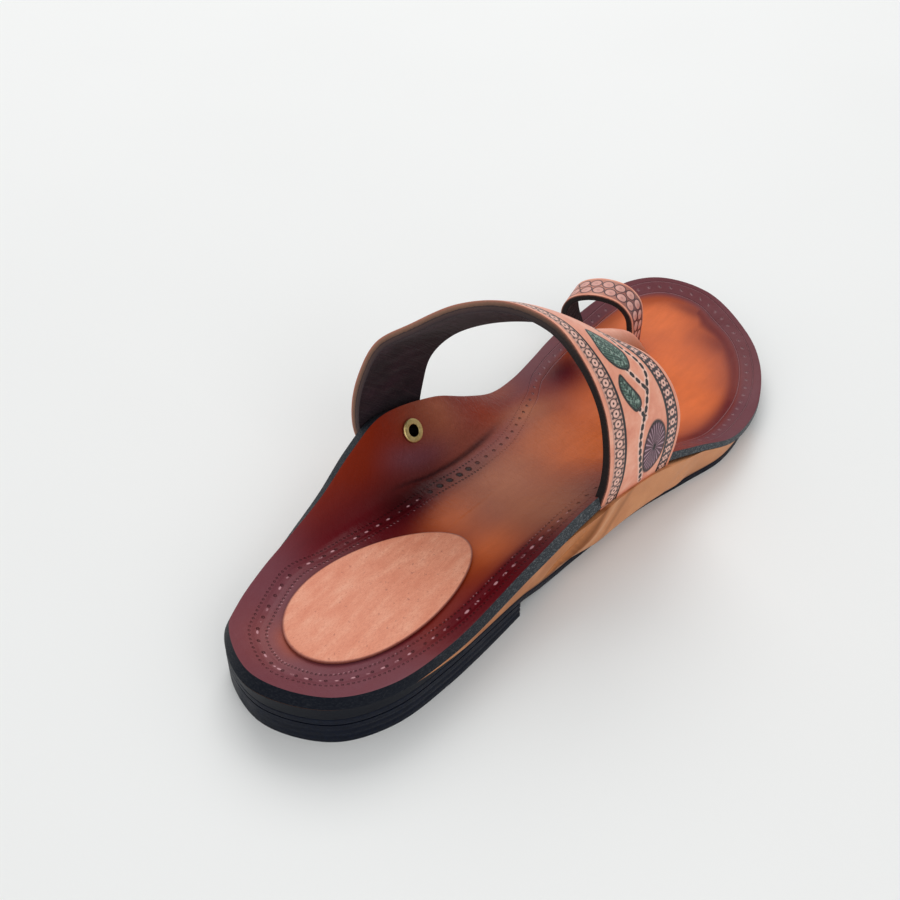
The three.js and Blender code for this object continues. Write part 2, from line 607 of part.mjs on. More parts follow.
// Rows of the strap's outer face, its edges moved out by grow
const STRAP_ROWS = 46;
const STRAP_COLUMNS = 6;
function strapFace(grow) {
  const rear = along(strapEdge(STRAP_REAR, 'rearAcross', 'rear', STRAP_REAR_RISE), STRAP_ROWS);
  const front = along(strapEdge(STRAP_FRONT, 'frontAcross', 'front', STRAP_FRONT_RISE), STRAP_ROWS);
  return rear.map((back, j) => {
    const over = front[j].clone().sub(back);
    const ahead = rear[Math.min(j + 1, STRAP_ROWS)].clone().sub(rear[Math.max(j - 1, 0)]);
    const out = over.clone().cross(ahead).normalize();
    const width = over.length() + 2 * grow;
    over.normalize();
    const start = back.clone().addScaledVector(over, -grow);
    const free = Math.sin((Math.PI * j) / STRAP_ROWS);
    const row = [];
    for (let k = 0; k <= STRAP_COLUMNS; k++) {
      const share = k / STRAP_COLUMNS;
      const crown = STRAP_CROWN * free * 4 * share * (1 - share);
      row.push(start.clone().addScaledVector(over, share * width).addScaledVector(out, crown));
    }
    return row;
  });
}

// The path of the toe loop's rear edge, and the way the loop opens
const loopOpening = new THREE.Vector3(
  -Math.sin(THREE.MathUtils.degToRad(LOOP_TURN)), Math.cos(THREE.MathUtils.degToRad(LOOP_TURN)), 0);
const loopAcross = new THREE.Vector3(loopOpening.y, -loopOpening.x, 0);
const loopFoot = new THREE.Vector3(
  LOOP_FOOT.across * BALL_WIDTH, LOOP_FOOT.along * LENGTH, floorAt(LOOP_FOOT.along * LENGTH));

function loopPoint(row) {
  return loopFoot.clone()
    .addScaledVector(loopAcross, row.across * LOOP_SPAN)
    .addScaledVector(loopOpening, row.ahead * LOOP_SHIFT)
    .add(new THREE.Vector3(0, 0, row.rise * LOOP_RISE));
}

const sink = (p, depth) => p.setZ(bedHeightAt(p.x, p.y) - depth);

function loopFace(depth, grow) {
  const path = LOOP_SECTIONS.map(loopPoint);
  const feet = [path.at(0), path.at(-1)].map((end) => sink(end.clone(), depth));
  const rows = along([feet[0], ...path, feet[1]], 34).map((p) => {
    const row = [];
    for (let k = 0; k <= 4; k++) {
      const share = 1 - k / 4;
      row.push(p.clone().addScaledVector(loopOpening, share * (LOOP_BAND + 2 * grow) - grow));
    }
    return row;
  });
  for (const p of [...rows.at(0), ...rows.at(-1)]) sink(p, depth);
  return rows;
}

// The thong leaves from inside the strap's front edge and bites into the loop's outer leg
const THONG_ROWS = 20;
function thongFace(depth, grow) {
  const front = along(strapEdge(STRAP_FRONT, 'frontAcross', 'front', STRAP_FRONT_RISE), 200);
  const start = front.find((p) => p.x < (THONG_ACROSS * STRAP_SPAN) / 2);
  const leg = loopPoint(LOOP_SECTIONS.at(-1)).addScaledVector(loopOpening, THONG_BITE);
  leg.x += THONG_ASIDE;
  const path = THONG_SECTIONS.map((row) => {
    return start.clone().lerp(leg, row.reach).setZ(row.rise * STRAP_FRONT_RISE);
  });
  path.push(sink(leg.clone(), depth));
  const curve = new THREE.CatmullRomCurve3(path, false, 'centripetal');
  const roundRows = THONG_SECTIONS.map((row, i) => ({ along: i / (path.length - 1), round: row.round }));
  const roundAt = column(roundRows, 'round');
  const rows = [];
  for (let j = 0; j <= THONG_ROWS; j++) {
    const t = j / THONG_ROWS;
    const p = curve.getPoint(t);
    const width = THONG_BAND + 2 * grow;
    const up = new THREE.Vector3(1, 0, 0).cross(curve.getTangent(t)).normalize();
    const row = [];
    for (let k = 0; k <= 4; k++) {
      const side = k / 2 - 1;
      const crown = THONG_CROWN * roundAt(t) * -side * side;
      row.push(new THREE.Vector3(p.x + (side * width) / 2, p.y, p.z).addScaledVector(up, crown));
    }
    rows.push(row);
  }
  return rows;
}

// Slots are the straps themselves, grown by the glue line, and run out below the footbed
const LEG_DEPTH = FOOTBED - GAP;
const SLOT_DEPTH = 2 * FOOTBED;
const SLOT_TOP = 8;
const legRows = (face) => face.filter((row) => row[0].z < loopFoot.z + SLOT_TOP);

function makeSlots() {
  const loop = loopFace(SLOT_DEPTH, GAP);
  const inner = legRows(loop.slice(0, loop.length / 2));
  const outer = legRows(loop.slice(loop.length / 2));
  const thong = legRows(thongFace(SLOT_DEPTH, GAP));
  return [inner, outer, thong].map((rows) => toSolid(sheet(rows, GAP, LOOP + GAP)));
}

const TUCK_ROWS = 8;
function makeTuckSlot() {
  const rows = strapFace(2 * GAP).slice(0, TUCK_ROWS);
  const deeper = rows[0].map((p) => p.clone().setZ(p.z - 2 * GAP));
  return toSolid(sheet([deeper, ...rows], GAP, STRAP + GAP));
}

function makeUpper() {
  const strap = toSolid(sheet(strapFace(0), 0, STRAP));
  const loop = toSolid(sheet(loopFace(LEG_DEPTH, 0), 0, LOOP));
  const thong = toSolid(sheet(thongFace(LEG_DEPTH, 0), 0, LOOP));
  return strap.add(loop).add(thong);
}

// The hollow rivet's axis runs along +Y here, with the footbed's face at 0
function rivetProfile(bore, barrel, head) {
  const over = 1.6 * GAP;
  const top = over + EYELET_HEAD_THICKNESS;
  const under = over - EYELET_GRIP;
  const bottom = under - EYELET_HEAD_THICKNESS;
  return [
    [bore, bottom], [head, bottom], [head, under], [barrel, under], [barrel, over], [head, over],
    [head - 0.3 * (head - barrel), top], [bore, top], [bore, bottom],
  ].map(([radius, height]) => new THREE.Vector2(radius, height));
}

const rivetT = tAtY(MEDIAL, EYELET_ALONG * LENGTH);
const rivetFoot = bedAt(MEDIAL, rivetT, EYELET_SHARE);
const rivetTurn = new THREE.Quaternion().setFromUnitVectors(
  new THREE.Vector3(0, 1, 0), bedNormalAt(MEDIAL, rivetT, EYELET_SHARE));
const RIVET_SIDES = 24;

function makeRivetHole() {
  const hole = new THREE.CylinderGeometry(EYELET_BARREL / 2 + GAP, EYELET_BARREL / 2 + GAP, 40, RIVET_SIDES);
  hole.applyQuaternion(rivetTurn);
  hole.translate(...rivetFoot.toArray());
  return toSolid(hole);
}

const tuckSlot = makeTuckSlot();
const rivetHole = makeRivetHole();
const slots = makeSlots();
const footbed = slots.reduce((solid, slot) => solid.subtract(slot), toSolid(makeFootbed()));

const LEATHER = { roughness: 0.55, metalness: 0 };
const pieces = {
  outsole: [makeOutsole(), new THREE.MeshStandardMaterial({ color: '#20262b', roughness: 0.8 })],
  heel: [toGeometry(makeHeel()), new THREE.MeshStandardMaterial({ color: '#1a2230', roughness: 0.6 })],
  midsole: [
    toGeometry(toSolid(makeWedge()).subtract(tuckSlot)),
    new THREE.MeshStandardMaterial({ ...LEATHER, color: '#b98558' }),
  ],
  footbed: [
    toGeometry(footbed.subtract(tuckSlot).subtract(rivetHole)),
    new THREE.MeshStandardMaterial({ ...LEATHER, color: '#8e3a26', roughness: 0.4 }),
  ],
  heel_pad: [toGeometry(makeHeelPad()), new THREE.MeshStandardMaterial({ ...LEATHER, color: '#e0937a' })],
  upper: [
    toGeometry(makeUpper().subtract(rivetHole)),
    new THREE.MeshStandardMaterial({ ...LEATHER, color: '#e2957c' }),
  ],
};

const sandal = new THREE.Group();
for (const [name, [geometry, material]] of Object.entries(pieces)) {
  const mesh = new THREE.Mesh(geometry, material);
  mesh.name = name;
  sandal.add(mesh);
}

const rivet = new THREE.Mesh(
  new THREE.LatheGeometry(rivetProfile(EYELET_BORE / 2, EYELET_BARREL / 2, EYELET_HEAD / 2), RIVET_SIDES),
  new THREE.MeshStandardMaterial({ color: '#b39a55', roughness: 0.3, metalness: 1 }));
rivet.name = 'eyelet';
rivet.quaternion.copy(rivetTurn);
rivet.position.copy(rivetFoot);
sandal.add(rivet);

// The origin lies on the floor under the middle of the whole sandal
const bounds = new THREE.Box3().setFromObject(sandal);
const middle = bounds.getCenter(new THREE.Vector3());
sandal.position.set(-middle.x, -middle.y, -bounds.min.z);

export default sandal;
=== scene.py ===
# %% [markdown]
# # A kolhapuri chappal, hand stained
#
# A right-foot leather sandal: a thick footbed that is cupped and turned up along the arch, a wide strap over
# the instep, a loop for the big toe, and a low sole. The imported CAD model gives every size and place. This
# file dresses it: each solid is replaced by a fine skin of the same form, with the tooling, the hand-rubbed
# stain and the cut edges that the real leather shows.

import math

import bmesh
import bpy
import numpy as np
from mathutils import Matrix, Vector
from mathutils.bvhtree import BVHTree


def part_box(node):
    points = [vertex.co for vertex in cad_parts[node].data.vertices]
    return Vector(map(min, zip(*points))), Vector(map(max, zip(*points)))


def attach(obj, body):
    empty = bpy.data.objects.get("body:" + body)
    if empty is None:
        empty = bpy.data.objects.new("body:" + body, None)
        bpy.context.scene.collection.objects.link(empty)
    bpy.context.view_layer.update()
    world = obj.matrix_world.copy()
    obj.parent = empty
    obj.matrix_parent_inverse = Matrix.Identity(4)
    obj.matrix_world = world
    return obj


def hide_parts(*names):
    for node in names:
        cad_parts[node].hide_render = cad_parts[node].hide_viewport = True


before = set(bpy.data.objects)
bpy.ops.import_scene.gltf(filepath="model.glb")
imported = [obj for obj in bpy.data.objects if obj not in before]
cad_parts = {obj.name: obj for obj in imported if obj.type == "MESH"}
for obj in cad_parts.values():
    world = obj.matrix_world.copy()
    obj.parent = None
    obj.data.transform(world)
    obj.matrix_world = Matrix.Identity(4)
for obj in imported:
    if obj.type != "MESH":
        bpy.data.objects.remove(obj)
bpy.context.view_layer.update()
MM = 0.001  # metres

# %% [markdown]
# ## Small helpers for finishes
#
# A finish is a tree of shader nodes. One function turns an sRGB hex colour to linear light, and one adds a
# node, sets it and links it, so that each finish below reads as a short recipe.

# %% Colours and nodes


def linear(code):
    """An sRGB hex colour such as '#c08a62' as linear RGBA."""
    parts = [int(code[i:i + 2], 16) / 255 for i in (1, 3, 5)]
    return (*[c / 12.92 if c <= 0.04045 else ((c + 0.055) / 1.055) ** 2.4 for c in parts], 1)


def put(socket, value):
    if isinstance(value, bpy.types.NodeSocket):
        socket.id_data.links.new(value, socket)
    else:
        socket.default_value = linear(value) if isinstance(value, str) else value


def add(kind, *values, out=0, ramp=(), named=None, **settings):
    """A new node in the finish at hand, its mode after a slash. Values go to its live sockets in turn."""
    kind, _, mode = kind.partition("/")
    node = tree.nodes.new("ShaderNode" + kind)
    if mode:
        setattr(node, "data_type" if kind == "Mix" else "operation", mode)
    for key, value in settings.items():
        setattr(node, key, value)
    if ramp:
        stops = node.color_ramp.elements
        stops.remove(stops[1])
        for i, (place, colour) in enumerate(ramp):
            stop = stops.new(place) if i else stops[0]
            stop.position = place
            stop.color = linear(colour) if isinstance(colour, str) else (colour, colour, colour, 1)
    live = [socket for socket in node.inputs if socket.enabled]
    for socket, value in zip(live, values):
        if value is not None:
            put(socket, value)
    for key, value in (named or {}).items():
        put(node.inputs[key], value)
    return [socket for socket in node.outputs if socket.enabled][out]


def finish(name):
    """An empty material, its tree and its Principled shader."""
    material = bpy.data.materials.new(name)
    material.use_nodes = True
    tree = material.node_tree
    shader = next(node for node in tree.nodes if node.type == "BSDF_PRINCIPLED")
    return material, tree, shader

# %% [markdown]
# ## Camera, floor and light
#
# The photograph looks down from behind the little-toe side of the heel. The lens is given as its focal length
# in pixels of a 900-pixel picture, which a 36 mm sensor turns to millimetres. The floor is pale paper, lit by
# one large soft box from the front and a white room, so that shadows stay faint.

# %% Stage
PICTURE = 900  # pixels
FOCAL_PIXELS = 1200.17
SENSOR = 36  # mm
CAMERA_PLACE = (178.2, -260.1, 300.5)  # mm
CAMERA_YAW, CAMERA_PITCH, CAMERA_ROLL = 39.85, 48.27, -0.16  # degrees

turns = ((CAMERA_YAW, "Z"), (CAMERA_PITCH, "X"), (CAMERA_ROLL, "Z"))
facing = Matrix.Identity(4)
for degrees, axis in turns:
    facing = facing @ Matrix.Rotation(math.radians(degrees), 4, axis)
lens = bpy.data.cameras.new("photo_view")
lens.sensor_width = SENSOR
lens.lens = SENSOR * FOCAL_PIXELS / PICTURE
camera = bpy.data.objects.new("photo_view", lens)
camera.matrix_world = Matrix.Translation(Vector(CAMERA_PLACE) * MM) @ facing
bpy.context.collection.objects.link(camera)
bpy.context.scene.camera = camera
bpy.context.scene.view_settings.view_transform = "Standard"

world = bpy.data.worlds.new("white_room")
world.use_nodes = True
world.node_tree.nodes["Background"].inputs["Color"].default_value = linear("#f2f4f6")
world.node_tree.nodes["Background"].inputs["Strength"].default_value = 0.7
bpy.context.scene.world = world


def softbox(name, place, aim, size, watts):
    light = bpy.data.lights.new(name, "AREA")
    light.shape = "RECTANGLE"
    light.size, light.size_y = size
    light.energy = watts
    holder = bpy.data.objects.new(name, light)
    toward = Vector(aim) - Vector(place)
    holder.matrix_world = Matrix.Translation(place) @ toward.to_track_quat("-Z", "Y").to_matrix().to_4x4()
    bpy.context.collection.objects.link(holder)


softbox("window", (-0.9, 0.8, 1.5), (0, 0, 0), (1.4, 1.2), 14)
softbox("bounce", (1.2, -0.5, 1.0), (0, 0, 0), (1.0, 1.0), 5)

paper, tree, shader = finish("matt_white_paper")
grit = add("TexNoise", None, named={"Scale": 40.0, "Detail": 3.0})
put(shader.inputs["Base Color"], add("ValToRGB", grit, ramp=((0.3, "#eeeeec"), (0.7, "#f1f1ef"))))
shader.inputs["Roughness"].default_value = 0.7
sheet_of_paper = bmesh.new()
bmesh.ops.create_grid(sheet_of_paper, x_segments=2, y_segments=2, size=6)
floor_mesh = bpy.data.meshes.new("floor")
sheet_of_paper.to_mesh(floor_mesh)
sheet_of_paper.free()
floor_mesh.materials.append(paper)
floor = bpy.data.objects.new("floor", floor_mesh)
bpy.context.collection.objects.link(floor)
print("camera at", CAMERA_PLACE, "mm, lens", round(lens.lens, 1), "mm")

# %% [markdown]
# ## The last
#
# A shoemaker starts from the last, the form that sets the edge, the cup and the arch of the footbed. Here it
# is a few short tables of sections, in millimetres from the back of the heel, with y forward, x towards the
# little toe and z up. Each table is read through a smooth curve, so a row is only needed where the form turns.

# %% The tables of the last
LENGTH = 262  # mm, as all below
BALL_WIDTH = 90
HEEL_HEIGHT = 8
BREAST_Y = 82  # front of the heel block
TOE_SPRING = 6.2
OUTSOLE = 2.5
WEDGE = 6.7
FOOTBED = 4.2
GAP = 0.3  # glue line between two pieces
SOLE_INSET = 1.65

# along (share of LENGTH), across (share of BALL_WIDTH), lip (mm over the floor of the footbed)
HEEL_TIP = (0, -0.033, 5)
TOE_TIP = (1, -0.06, 2.03)
LATERAL_EDGE = [
    (0.03, 0.216, 4.5), (0.089, 0.333, 3.4), (0.178, 0.377, 3.06), (0.326, 0.381, 7.65), (0.444, 0.391, 12.51),
    (0.563, 0.426, 13.9), (0.652, 0.486, 10.56), (0.725, 0.531, 4.73), (0.8, 0.508, 0.9), (0.859, 0.454, 0.72),
    (0.919, 0.35, 0.72), (0.962, 0.211, 0.81),
]
MEDIAL_EDGE = [
    (0.03, -0.232, 4.8), (0.059, -0.282, 4.6), (0.118, -0.342, 4.1), (0.178, -0.37, 5.9),
    (0.237, -0.383, 10.62), (0.298, -0.398, 18.64), (0.356, -0.413, 23.6), (0.415, -0.414, 21.24), (0.473, -0.411, 15.81),
    (0.534, -0.402, 7.55), (0.592, -0.402, 1.42), (0.649, -0.418, 0.24), (0.71, -0.444, 0.32),
    (0.763, -0.463, 1.22), (0.828, -0.463, 3.51), (0.9, -0.444, 4.5), (0.95, -0.4, 4.28), (0.986, -0.29, 3.38),
]
# along, where a row starts to rise (share of the way out) and how softly, where the sole ends, its inset there
# (share of SOLE_INSET), and the thickness left at the edge (share of FOOTBED)
LATERAL_FOLD = [
    (0, 0.6, 0.3, 0.985, -0.6, 1), (0.05, 0.6, 0.3, 0.985, -0.4, 1), (0.2, 0.6, 0.4, 0.985, 0.1, 1),
    (0.3, 0.5, 0.5, 0.985, 0.2, 1), (0.42, 0.43, 0.5, 0.985, 1, 0.95), (0.57, 0.4, 0.5, 0.985, 1, 0.7),
    (0.68, 0.44, 0.5, 0.985, 1, 0.52), (0.8, 0.53, 0.45, 0.985, 1, 0.55), (1, 0.65, 0.3, 0.985, 0.3, 0.9),
]
MEDIAL_FOLD = [
    (0, 0.6, 0.3, 0.985, -0.6, 1), (0.03, 0.63, 0.3, 0.985, -1.6, 1), (0.12, 0.72, 0.3, 0.985, -0.8, 1),
    (0.19, 0.77, 0.22, 0.96, 0.1, 1), (0.26, 0.74, 0.2, 0.8, 0.3, 1), (0.35, 0.655, 0.16, 0.69, 0.7, 1),
    (0.42, 0.56, 0.16, 0.6, 1, 1), (0.49, 0.54, 0.2, 0.58, 1, 1), (0.56, 0.64, 0.3, 0.68, 1, 1),
    (0.64, 0.76, 0.4, 0.88, 1, 0.95), (0.72, 0.8, 0.4, 0.985, 0.6, 0.9), (1, 0.65, 0.3, 0.985, 0.3, 0.9),
]
# along, then shares of the heel height, of the toe spring and of the wedge
PROFILE = [
    (0, 1, 0, 0.22), (0.15, 1, 0, 0.22), (0.25, 0.94, 0, 0.23), (0.313, 0.76, 0, 0.36), (0.36, 0.36, 0, 0.76),
    (0.41, 0.09, 0, 1), (0.47, 0, 0, 1), (0.59, 0, 0, 0.56), (0.65, 0, 0, 0.26), (0.71, 0, 0, 0.14),
    (0.77, 0, 0, 0.1), (0.82, 0, 0, 0), (0.85, 0, 0.01, 0), (0.9, 0, 0.15, 0), (0.955, 0, 0.54, 0),
    (1, 0, 1, 0),
]

# %% [markdown]
# ## Reading the tables
#
# A column of a table is read through a smooth curve, and the edge of the footbed is one closed line through its
# points. Every place on the sole is then a side, a share t from heel to toe along that edge, and a share r of
# the way out from the middle line.

# %% Reading the tables
def column(rows, key):
    xs = np.array([row[0] for row in rows], float)
    ys = np.array([row[key] for row in rows], float)
    before = np.maximum(np.arange(len(xs)) - 1, 0)
    after = np.minimum(np.arange(len(xs)) + 1, len(xs) - 1)
    slopes = (ys[after] - ys[before]) / (xs[after] - xs[before])

    def at(along):
        i = np.clip(np.searchsorted(xs, along) - 1, 0, len(xs) - 2)
        width = xs[i + 1] - xs[i]
        t = np.clip((along - xs[i]) / width, 0, 1)
        moves = np.abs(ys[i + 1] - ys[i]) > 1e-9
        ma = slopes[i] * width * moves
        mb = slopes[i + 1] * width * moves
        start = (2 * t**3 - 3 * t**2 + 1) * ys[i] + (t**3 - 2 * t**2 + t) * ma
        return start + (3 * t**2 - 2 * t**3) * ys[i + 1] + (t**3 - t**2) * mb

    return at


def through(points, closed=False, steps=60):
    p = np.array(points, float)
    if closed:
        p = np.vstack([p[-1:], p, p[:2]])
    else:
        p = np.vstack([2 * p[:1] - p[1:2], p, 2 * p[-1:] - p[-2:-1]])
    t = np.linspace(0, 1, steps, endpoint=False)[:, None]
    spans = []
    for a, b, c, d in zip(p, p[1:], p[2:], p[3:]):
        d0, d1, d2 = (np.linalg.norm(q - o) ** 0.5 for o, q in ((a, b), (b, c), (c, d)))
        m1 = ((b - a) / d0 - (c - a) / (d0 + d1) + (c - b) / d1) * d1
        m2 = ((c - b) / d1 - (d - b) / (d1 + d2) + (d - c) / d2) * d1
        spans.append(b + m1 * t + (3 * c - 3 * b - 2 * m1 - m2) * t**2 + (2 * b - 2 * c + m1 + m2) * t**3)
    return np.vstack([*spans, p[-2:-1]])


def run_along(line):
    return np.concatenate([[0], np.cumsum(np.linalg.norm(np.diff(line, axis=0), axis=1))])


def at_run(line, run, where):
    return np.stack([np.interp(where, run, line[:, i]) for i in range(line.shape[1])], -1)


edge_points = [(row[1] * BALL_WIDTH, row[0] * LENGTH, row[2])
               for row in [HEEL_TIP, *LATERAL_EDGE, TOE_TIP, *MEDIAL_EDGE[::-1]]]
EDGE_STEPS = 60
edge_line = through(edge_points, closed=True, steps=EDGE_STEPS)
edge_run = run_along(edge_line)
TOE_RUN = edge_run[(len(LATERAL_EDGE) + 1) * EDGE_STEPS]
END_RUN = edge_run[-1]


def edge_at(side, t):
    return at_run(edge_line, edge_run, np.where(side > 0, t * TOE_RUN, END_RUN - t * (END_RUN - TOE_RUN)))


SPINE_SHARE = 0.86
spine_t = np.linspace(0, 1, 2001)
middle_y = (edge_at(1, spine_t)[:, 1] + edge_at(-1, spine_t)[:, 1]) / 2
spine_y = np.maximum.accumulate(LENGTH / 2 + (middle_y - LENGTH / 2) * SPINE_SHARE)


def spine_at(t):
    """The middle line never turns back on itself, so that the rows fan out at the heel and the toe."""
    return np.interp(t, spine_t, spine_y)


heel_share, toe_share, wedge_share = (column(PROFILE, key) for key in (1, 2, 3))
FOLDS = {key: (column(LATERAL_FOLD, n), column(MEDIAL_FOLD, n))
         for n, key in enumerate(("fold", "soft", "base", "inset", "pared"), 1)}


def fold_at(key, side, along):
    lateral, medial = FOLDS[key]
    return np.where(side > 0, lateral(along), medial(along))


def under_at(y):
    return heel_share(y / LENGTH) * (HEEL_HEIGHT + GAP) + toe_share(y / LENGTH) * TOE_SPRING


def floor_at(y):
    return under_at(y) + OUTSOLE + GAP + np.maximum(wedge_share(y / LENGTH), 0) * WEDGE + FOOTBED


def hinge(x, soft):
    return (x + np.sqrt(x * x + soft * soft)) / 2


def ramp_at(side, along, r):
    fold, soft = fold_at("fold", side, along), fold_at("soft", side, along)
    start = hinge(-fold / (1 - fold), soft)
    return (hinge((r - fold) / (1 - fold), soft) - start) / (hinge(1, soft) - start)


def bed_at(side, t, r):
    edge = edge_at(side, t)
    spine = spine_at(t)
    x = edge[..., 0] * r
    y = spine + (edge[..., 1] - spine) * r
    return np.stack([x, y, floor_at(y) + edge[..., 2] * ramp_at(side, edge[..., 1] / LENGTH, r)], -1)


def bed_normal_at(side, t, r):
    """At the heel and toe tips the row before or after is the one on the other side."""
    step = 0.004
    r = np.maximum(r, 0.03)
    side = np.broadcast_to(side, np.shape(t))
    ahead = bed_at(np.where(t > 1 - step, -side, side), np.where(t > 1 - step, 2 - t - step, t + step), r)
    behind = bed_at(np.where(t < step, -side, side), np.where(t < step, step - t, t - step), r)
    out = bed_at(side, t, np.minimum(r + step, 1)) - bed_at(side, t, r - step)
    normal = np.cross(out, ahead - behind) * side[..., None]
    return normal / np.linalg.norm(normal, axis=-1, keepdims=True)


def t_at_y(side, y):
    t = np.linspace(0, 1, 2001)
    return np.interp(y, edge_at(side, t)[:, 1], t)


def sole_grid(side, t, share):
    """The plan of a row of the sole, which lies inside the footbed's edge by its inset."""
    edge = edge_at(side, t)
    spine = spine_at(t)
    base = fold_at("base", side, edge[..., 1] / LENGTH)
    out = np.hypot(edge[..., 0], edge[..., 1] - spine)
    base = base - fold_at("inset", side, edge[..., 1] / LENGTH) * SOLE_INSET / out
    return edge[..., 0] * base * share, spine + (edge[..., 1] - spine) * base * share


def smooth(x, low, high):
    s = np.clip((x - low) / (high - low), 0, 1)
    return s * s * (3 - 2 * s)


def bed_under(side, t, r, extra=0):
    pared = fold_at("pared", side, edge_at(side, t)[..., 1] / LENGTH)
    thick = FOOTBED * (1 + (pared - 1) * r**3) + extra
    return bed_at(side, t, r) - bed_normal_at(side, t, r) * thick[..., None]


MERGE_START, MERGE_END = 0.78, 0.83


def outsole_top(side, t, share):
    x, y = sole_grid(side, t, share)
    plain = np.stack([x, y, under_at(y) + OUTSOLE], -1)
    base = fold_at("base", side, edge_at(side, t)[..., 1] / LENGTH)
    close = bed_under(side, t, base * share, GAP)
    middle = (edge_at(1, t)[..., 1] + edge_at(-1, t)[..., 1]) / 2
    merged = smooth(middle, MERGE_START * LENGTH, MERGE_END * LENGTH)[..., None]
    return plain + (close - plain) * merged, merged


edge_rows = np.linspace(0, 1, 400)
outline = np.vstack([f(s, edge_rows, np.ones(400)) for f in (bed_at, bed_under) for s in (1, -1)])
low, high = (Vector(corner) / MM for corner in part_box("footbed"))
OFFSET = np.array([(low.x + high.x) / 2, (low.y + high.y) / 2, 0])
OFFSET[:2] -= (outline.max(0)[:2] + outline.min(0)[:2]) / 2
print("the back of the heel lies at", OFFSET.round(2), "mm")

# %% [markdown]
# ## Cutting a sheet of leather
#
# Almost every piece here is a sheet with a thickness: footbed, strap, loop, outsole. Each starts as a flat
# grid in a unit square. An extrusion gives it a lower face, and a function then lays every corner in place,
# from its share along, its share across and its share of the depth. Faces, cut edge and lining get a finish
# each, and marks for the tooling are stored at the corners as attributes.

# %% A sheet


def store(mesh, name, values):
    values = np.asarray(values, np.float32)
    kind, key = ("FLOAT", "value") if values.ndim == 1 else ("FLOAT_VECTOR", "vector")
    mesh.attributes.new(name, kind, "POINT").data.foreach_set(key, values.ravel())


# Borders of the grid that close on themselves: their axis, and their share along it.
MEETS = {"heel": (0, 0), "toe": (0, 1), "middle": (1, 0)}


def sheet(name, steps, place, finishes, marks=None, walls=3, rim=0.4, closed=()):
    """A closed sheet: steps along and across, and finishes for its face, its cut edge and its back."""
    bm = bmesh.new()
    bmesh.ops.create_grid(bm, x_segments=steps[0], y_segments=steps[1], size=0.5)
    bmesh.ops.translate(bm, verts=bm.verts, vec=(0.5, 0.5, 0))
    back = bmesh.ops.extrude_face_region(bm, geom=bm.faces[:])["geom"]
    bmesh.ops.translate(bm, verts=[v for v in back if isinstance(v, bmesh.types.BMVert)], vec=(0, 0, 1))
    upright = [e for e in bm.edges if abs(e.verts[0].co.z - e.verts[1].co.z) > 0.5]
    bmesh.ops.subdivide_edges(bm, edges=upright, cuts=walls - 1, use_grid_fill=True)
    for face in bm.faces:
        depth = [v.co.z for v in face.verts]
        face.material_index = 0 if max(depth) < 0.01 else 2 if min(depth) > 0.99 else 1
    for axis, share in (MEETS[border] for border in closed):
        inner = [f for f in bm.faces if all(abs(v.co[axis] - share) < 1e-5 for v in f.verts)]
        bmesh.ops.delete(bm, geom=inner, context="FACES")
    mesh = bpy.data.meshes.new(name)
    bm.to_mesh(mesh)
    bm.free()
    shares = np.empty(len(mesh.vertices) * 3)
    mesh.vertices.foreach_get("co", shares)
    along, across, depth = shares.reshape(-1, 3).T
    placed = (place(along, across, depth) + OFFSET) * MM
    mesh.vertices.foreach_set("co", placed.ravel())
    for key, values in (marks(along, across, depth) if marks else {}).items():
        store(mesh, key, values)
    bm = bmesh.new()
    bm.from_mesh(mesh)
    if closed:
        bmesh.ops.remove_doubles(bm, verts=bm.verts, dist=0.01 * MM)
        open_edges = sum(not edge.is_manifold for edge in bm.edges)
        print(name, "has", open_edges, "open edges")
    bmesh.ops.recalc_face_normals(bm, faces=bm.faces)
    for face in bm.faces:
        face.smooth = True
    bm.to_mesh(mesh)
    bm.free()
    for material in finishes:
        mesh.materials.append(material)
    piece = bpy.data.objects.new(name, mesh)
    bpy.context.collection.objects.link(piece)
    if rim:
        bevel = piece.modifiers.new("rounded_rim", "BEVEL")
        bevel.width = rim * MM
        bevel.segments = 3
        bevel.angle_limit = math.radians(50)
    print(name, len(mesh.polygons), "faces", [round(v * 1000, 1) for v in piece.dimensions], "mm")
    return piece


def sides(across):
    """A share across the whole sheet as a side and a share of the way out to its edge."""
    x = 2 * across - 1
    return np.where(x < 0, -1, 1), np.abs(x)


# %% [markdown]
# ## Marks for the tooling of the footbed
#
# The border of the footbed is stamped along a line: about ten millimetres inside the edge at the heel, the
# toe and the outer side, and down in the crease of the arch. Each corner of the sheet stores how far along
# that line it lies, and how far inside it, so that stamps can be drawn at their real pitch. The hand-rubbed
# stain is stored as soft spots: orange where it was rubbed back, crimson and dark where it was laid on.
# Painted sheen, a painted reflection, is stored with it as pale spots on the waist and bands beside the
# arch crease, and a painted shade darkens the crease itself.

# %% Border and stain
# along (share of LENGTH), mm inside the edge
BORDER_INSET = column([(0, 8.5), (0.12, 7.5), (0.25, 5.2), (0.5, 5), (0.62, 5), (0.75, 7), (0.88, 5.8),
                       (1, 4.2)], 1)
ARCH_BORDER = through([(-23.8, 40.8), (-21.3, 57.3), (-18.4, 73.7), (-16.5, 97), (-14.6, 111.6), (-14.6, 134.9),
                       (-21.3, 156.2), (-29.6, 176.6)])  # mm, in plan
ARCH_CREASE = through([(-33.5, 33), (-31, 48.5), (-27.7, 64), (-24.5, 91), (-21.3, 103), (-19.6, 118),
                       (-20.1, 130), (-23.7, 146.5), (-28.6, 166), (-33.8, 186)])  # mm, in plan
BORDER_FADE = 12  # mm over which the stamped line runs from the arch to the edge
STAMP = 4.6  # mm between two stamps
STAMPS = 62  # from heel to toe, on either side


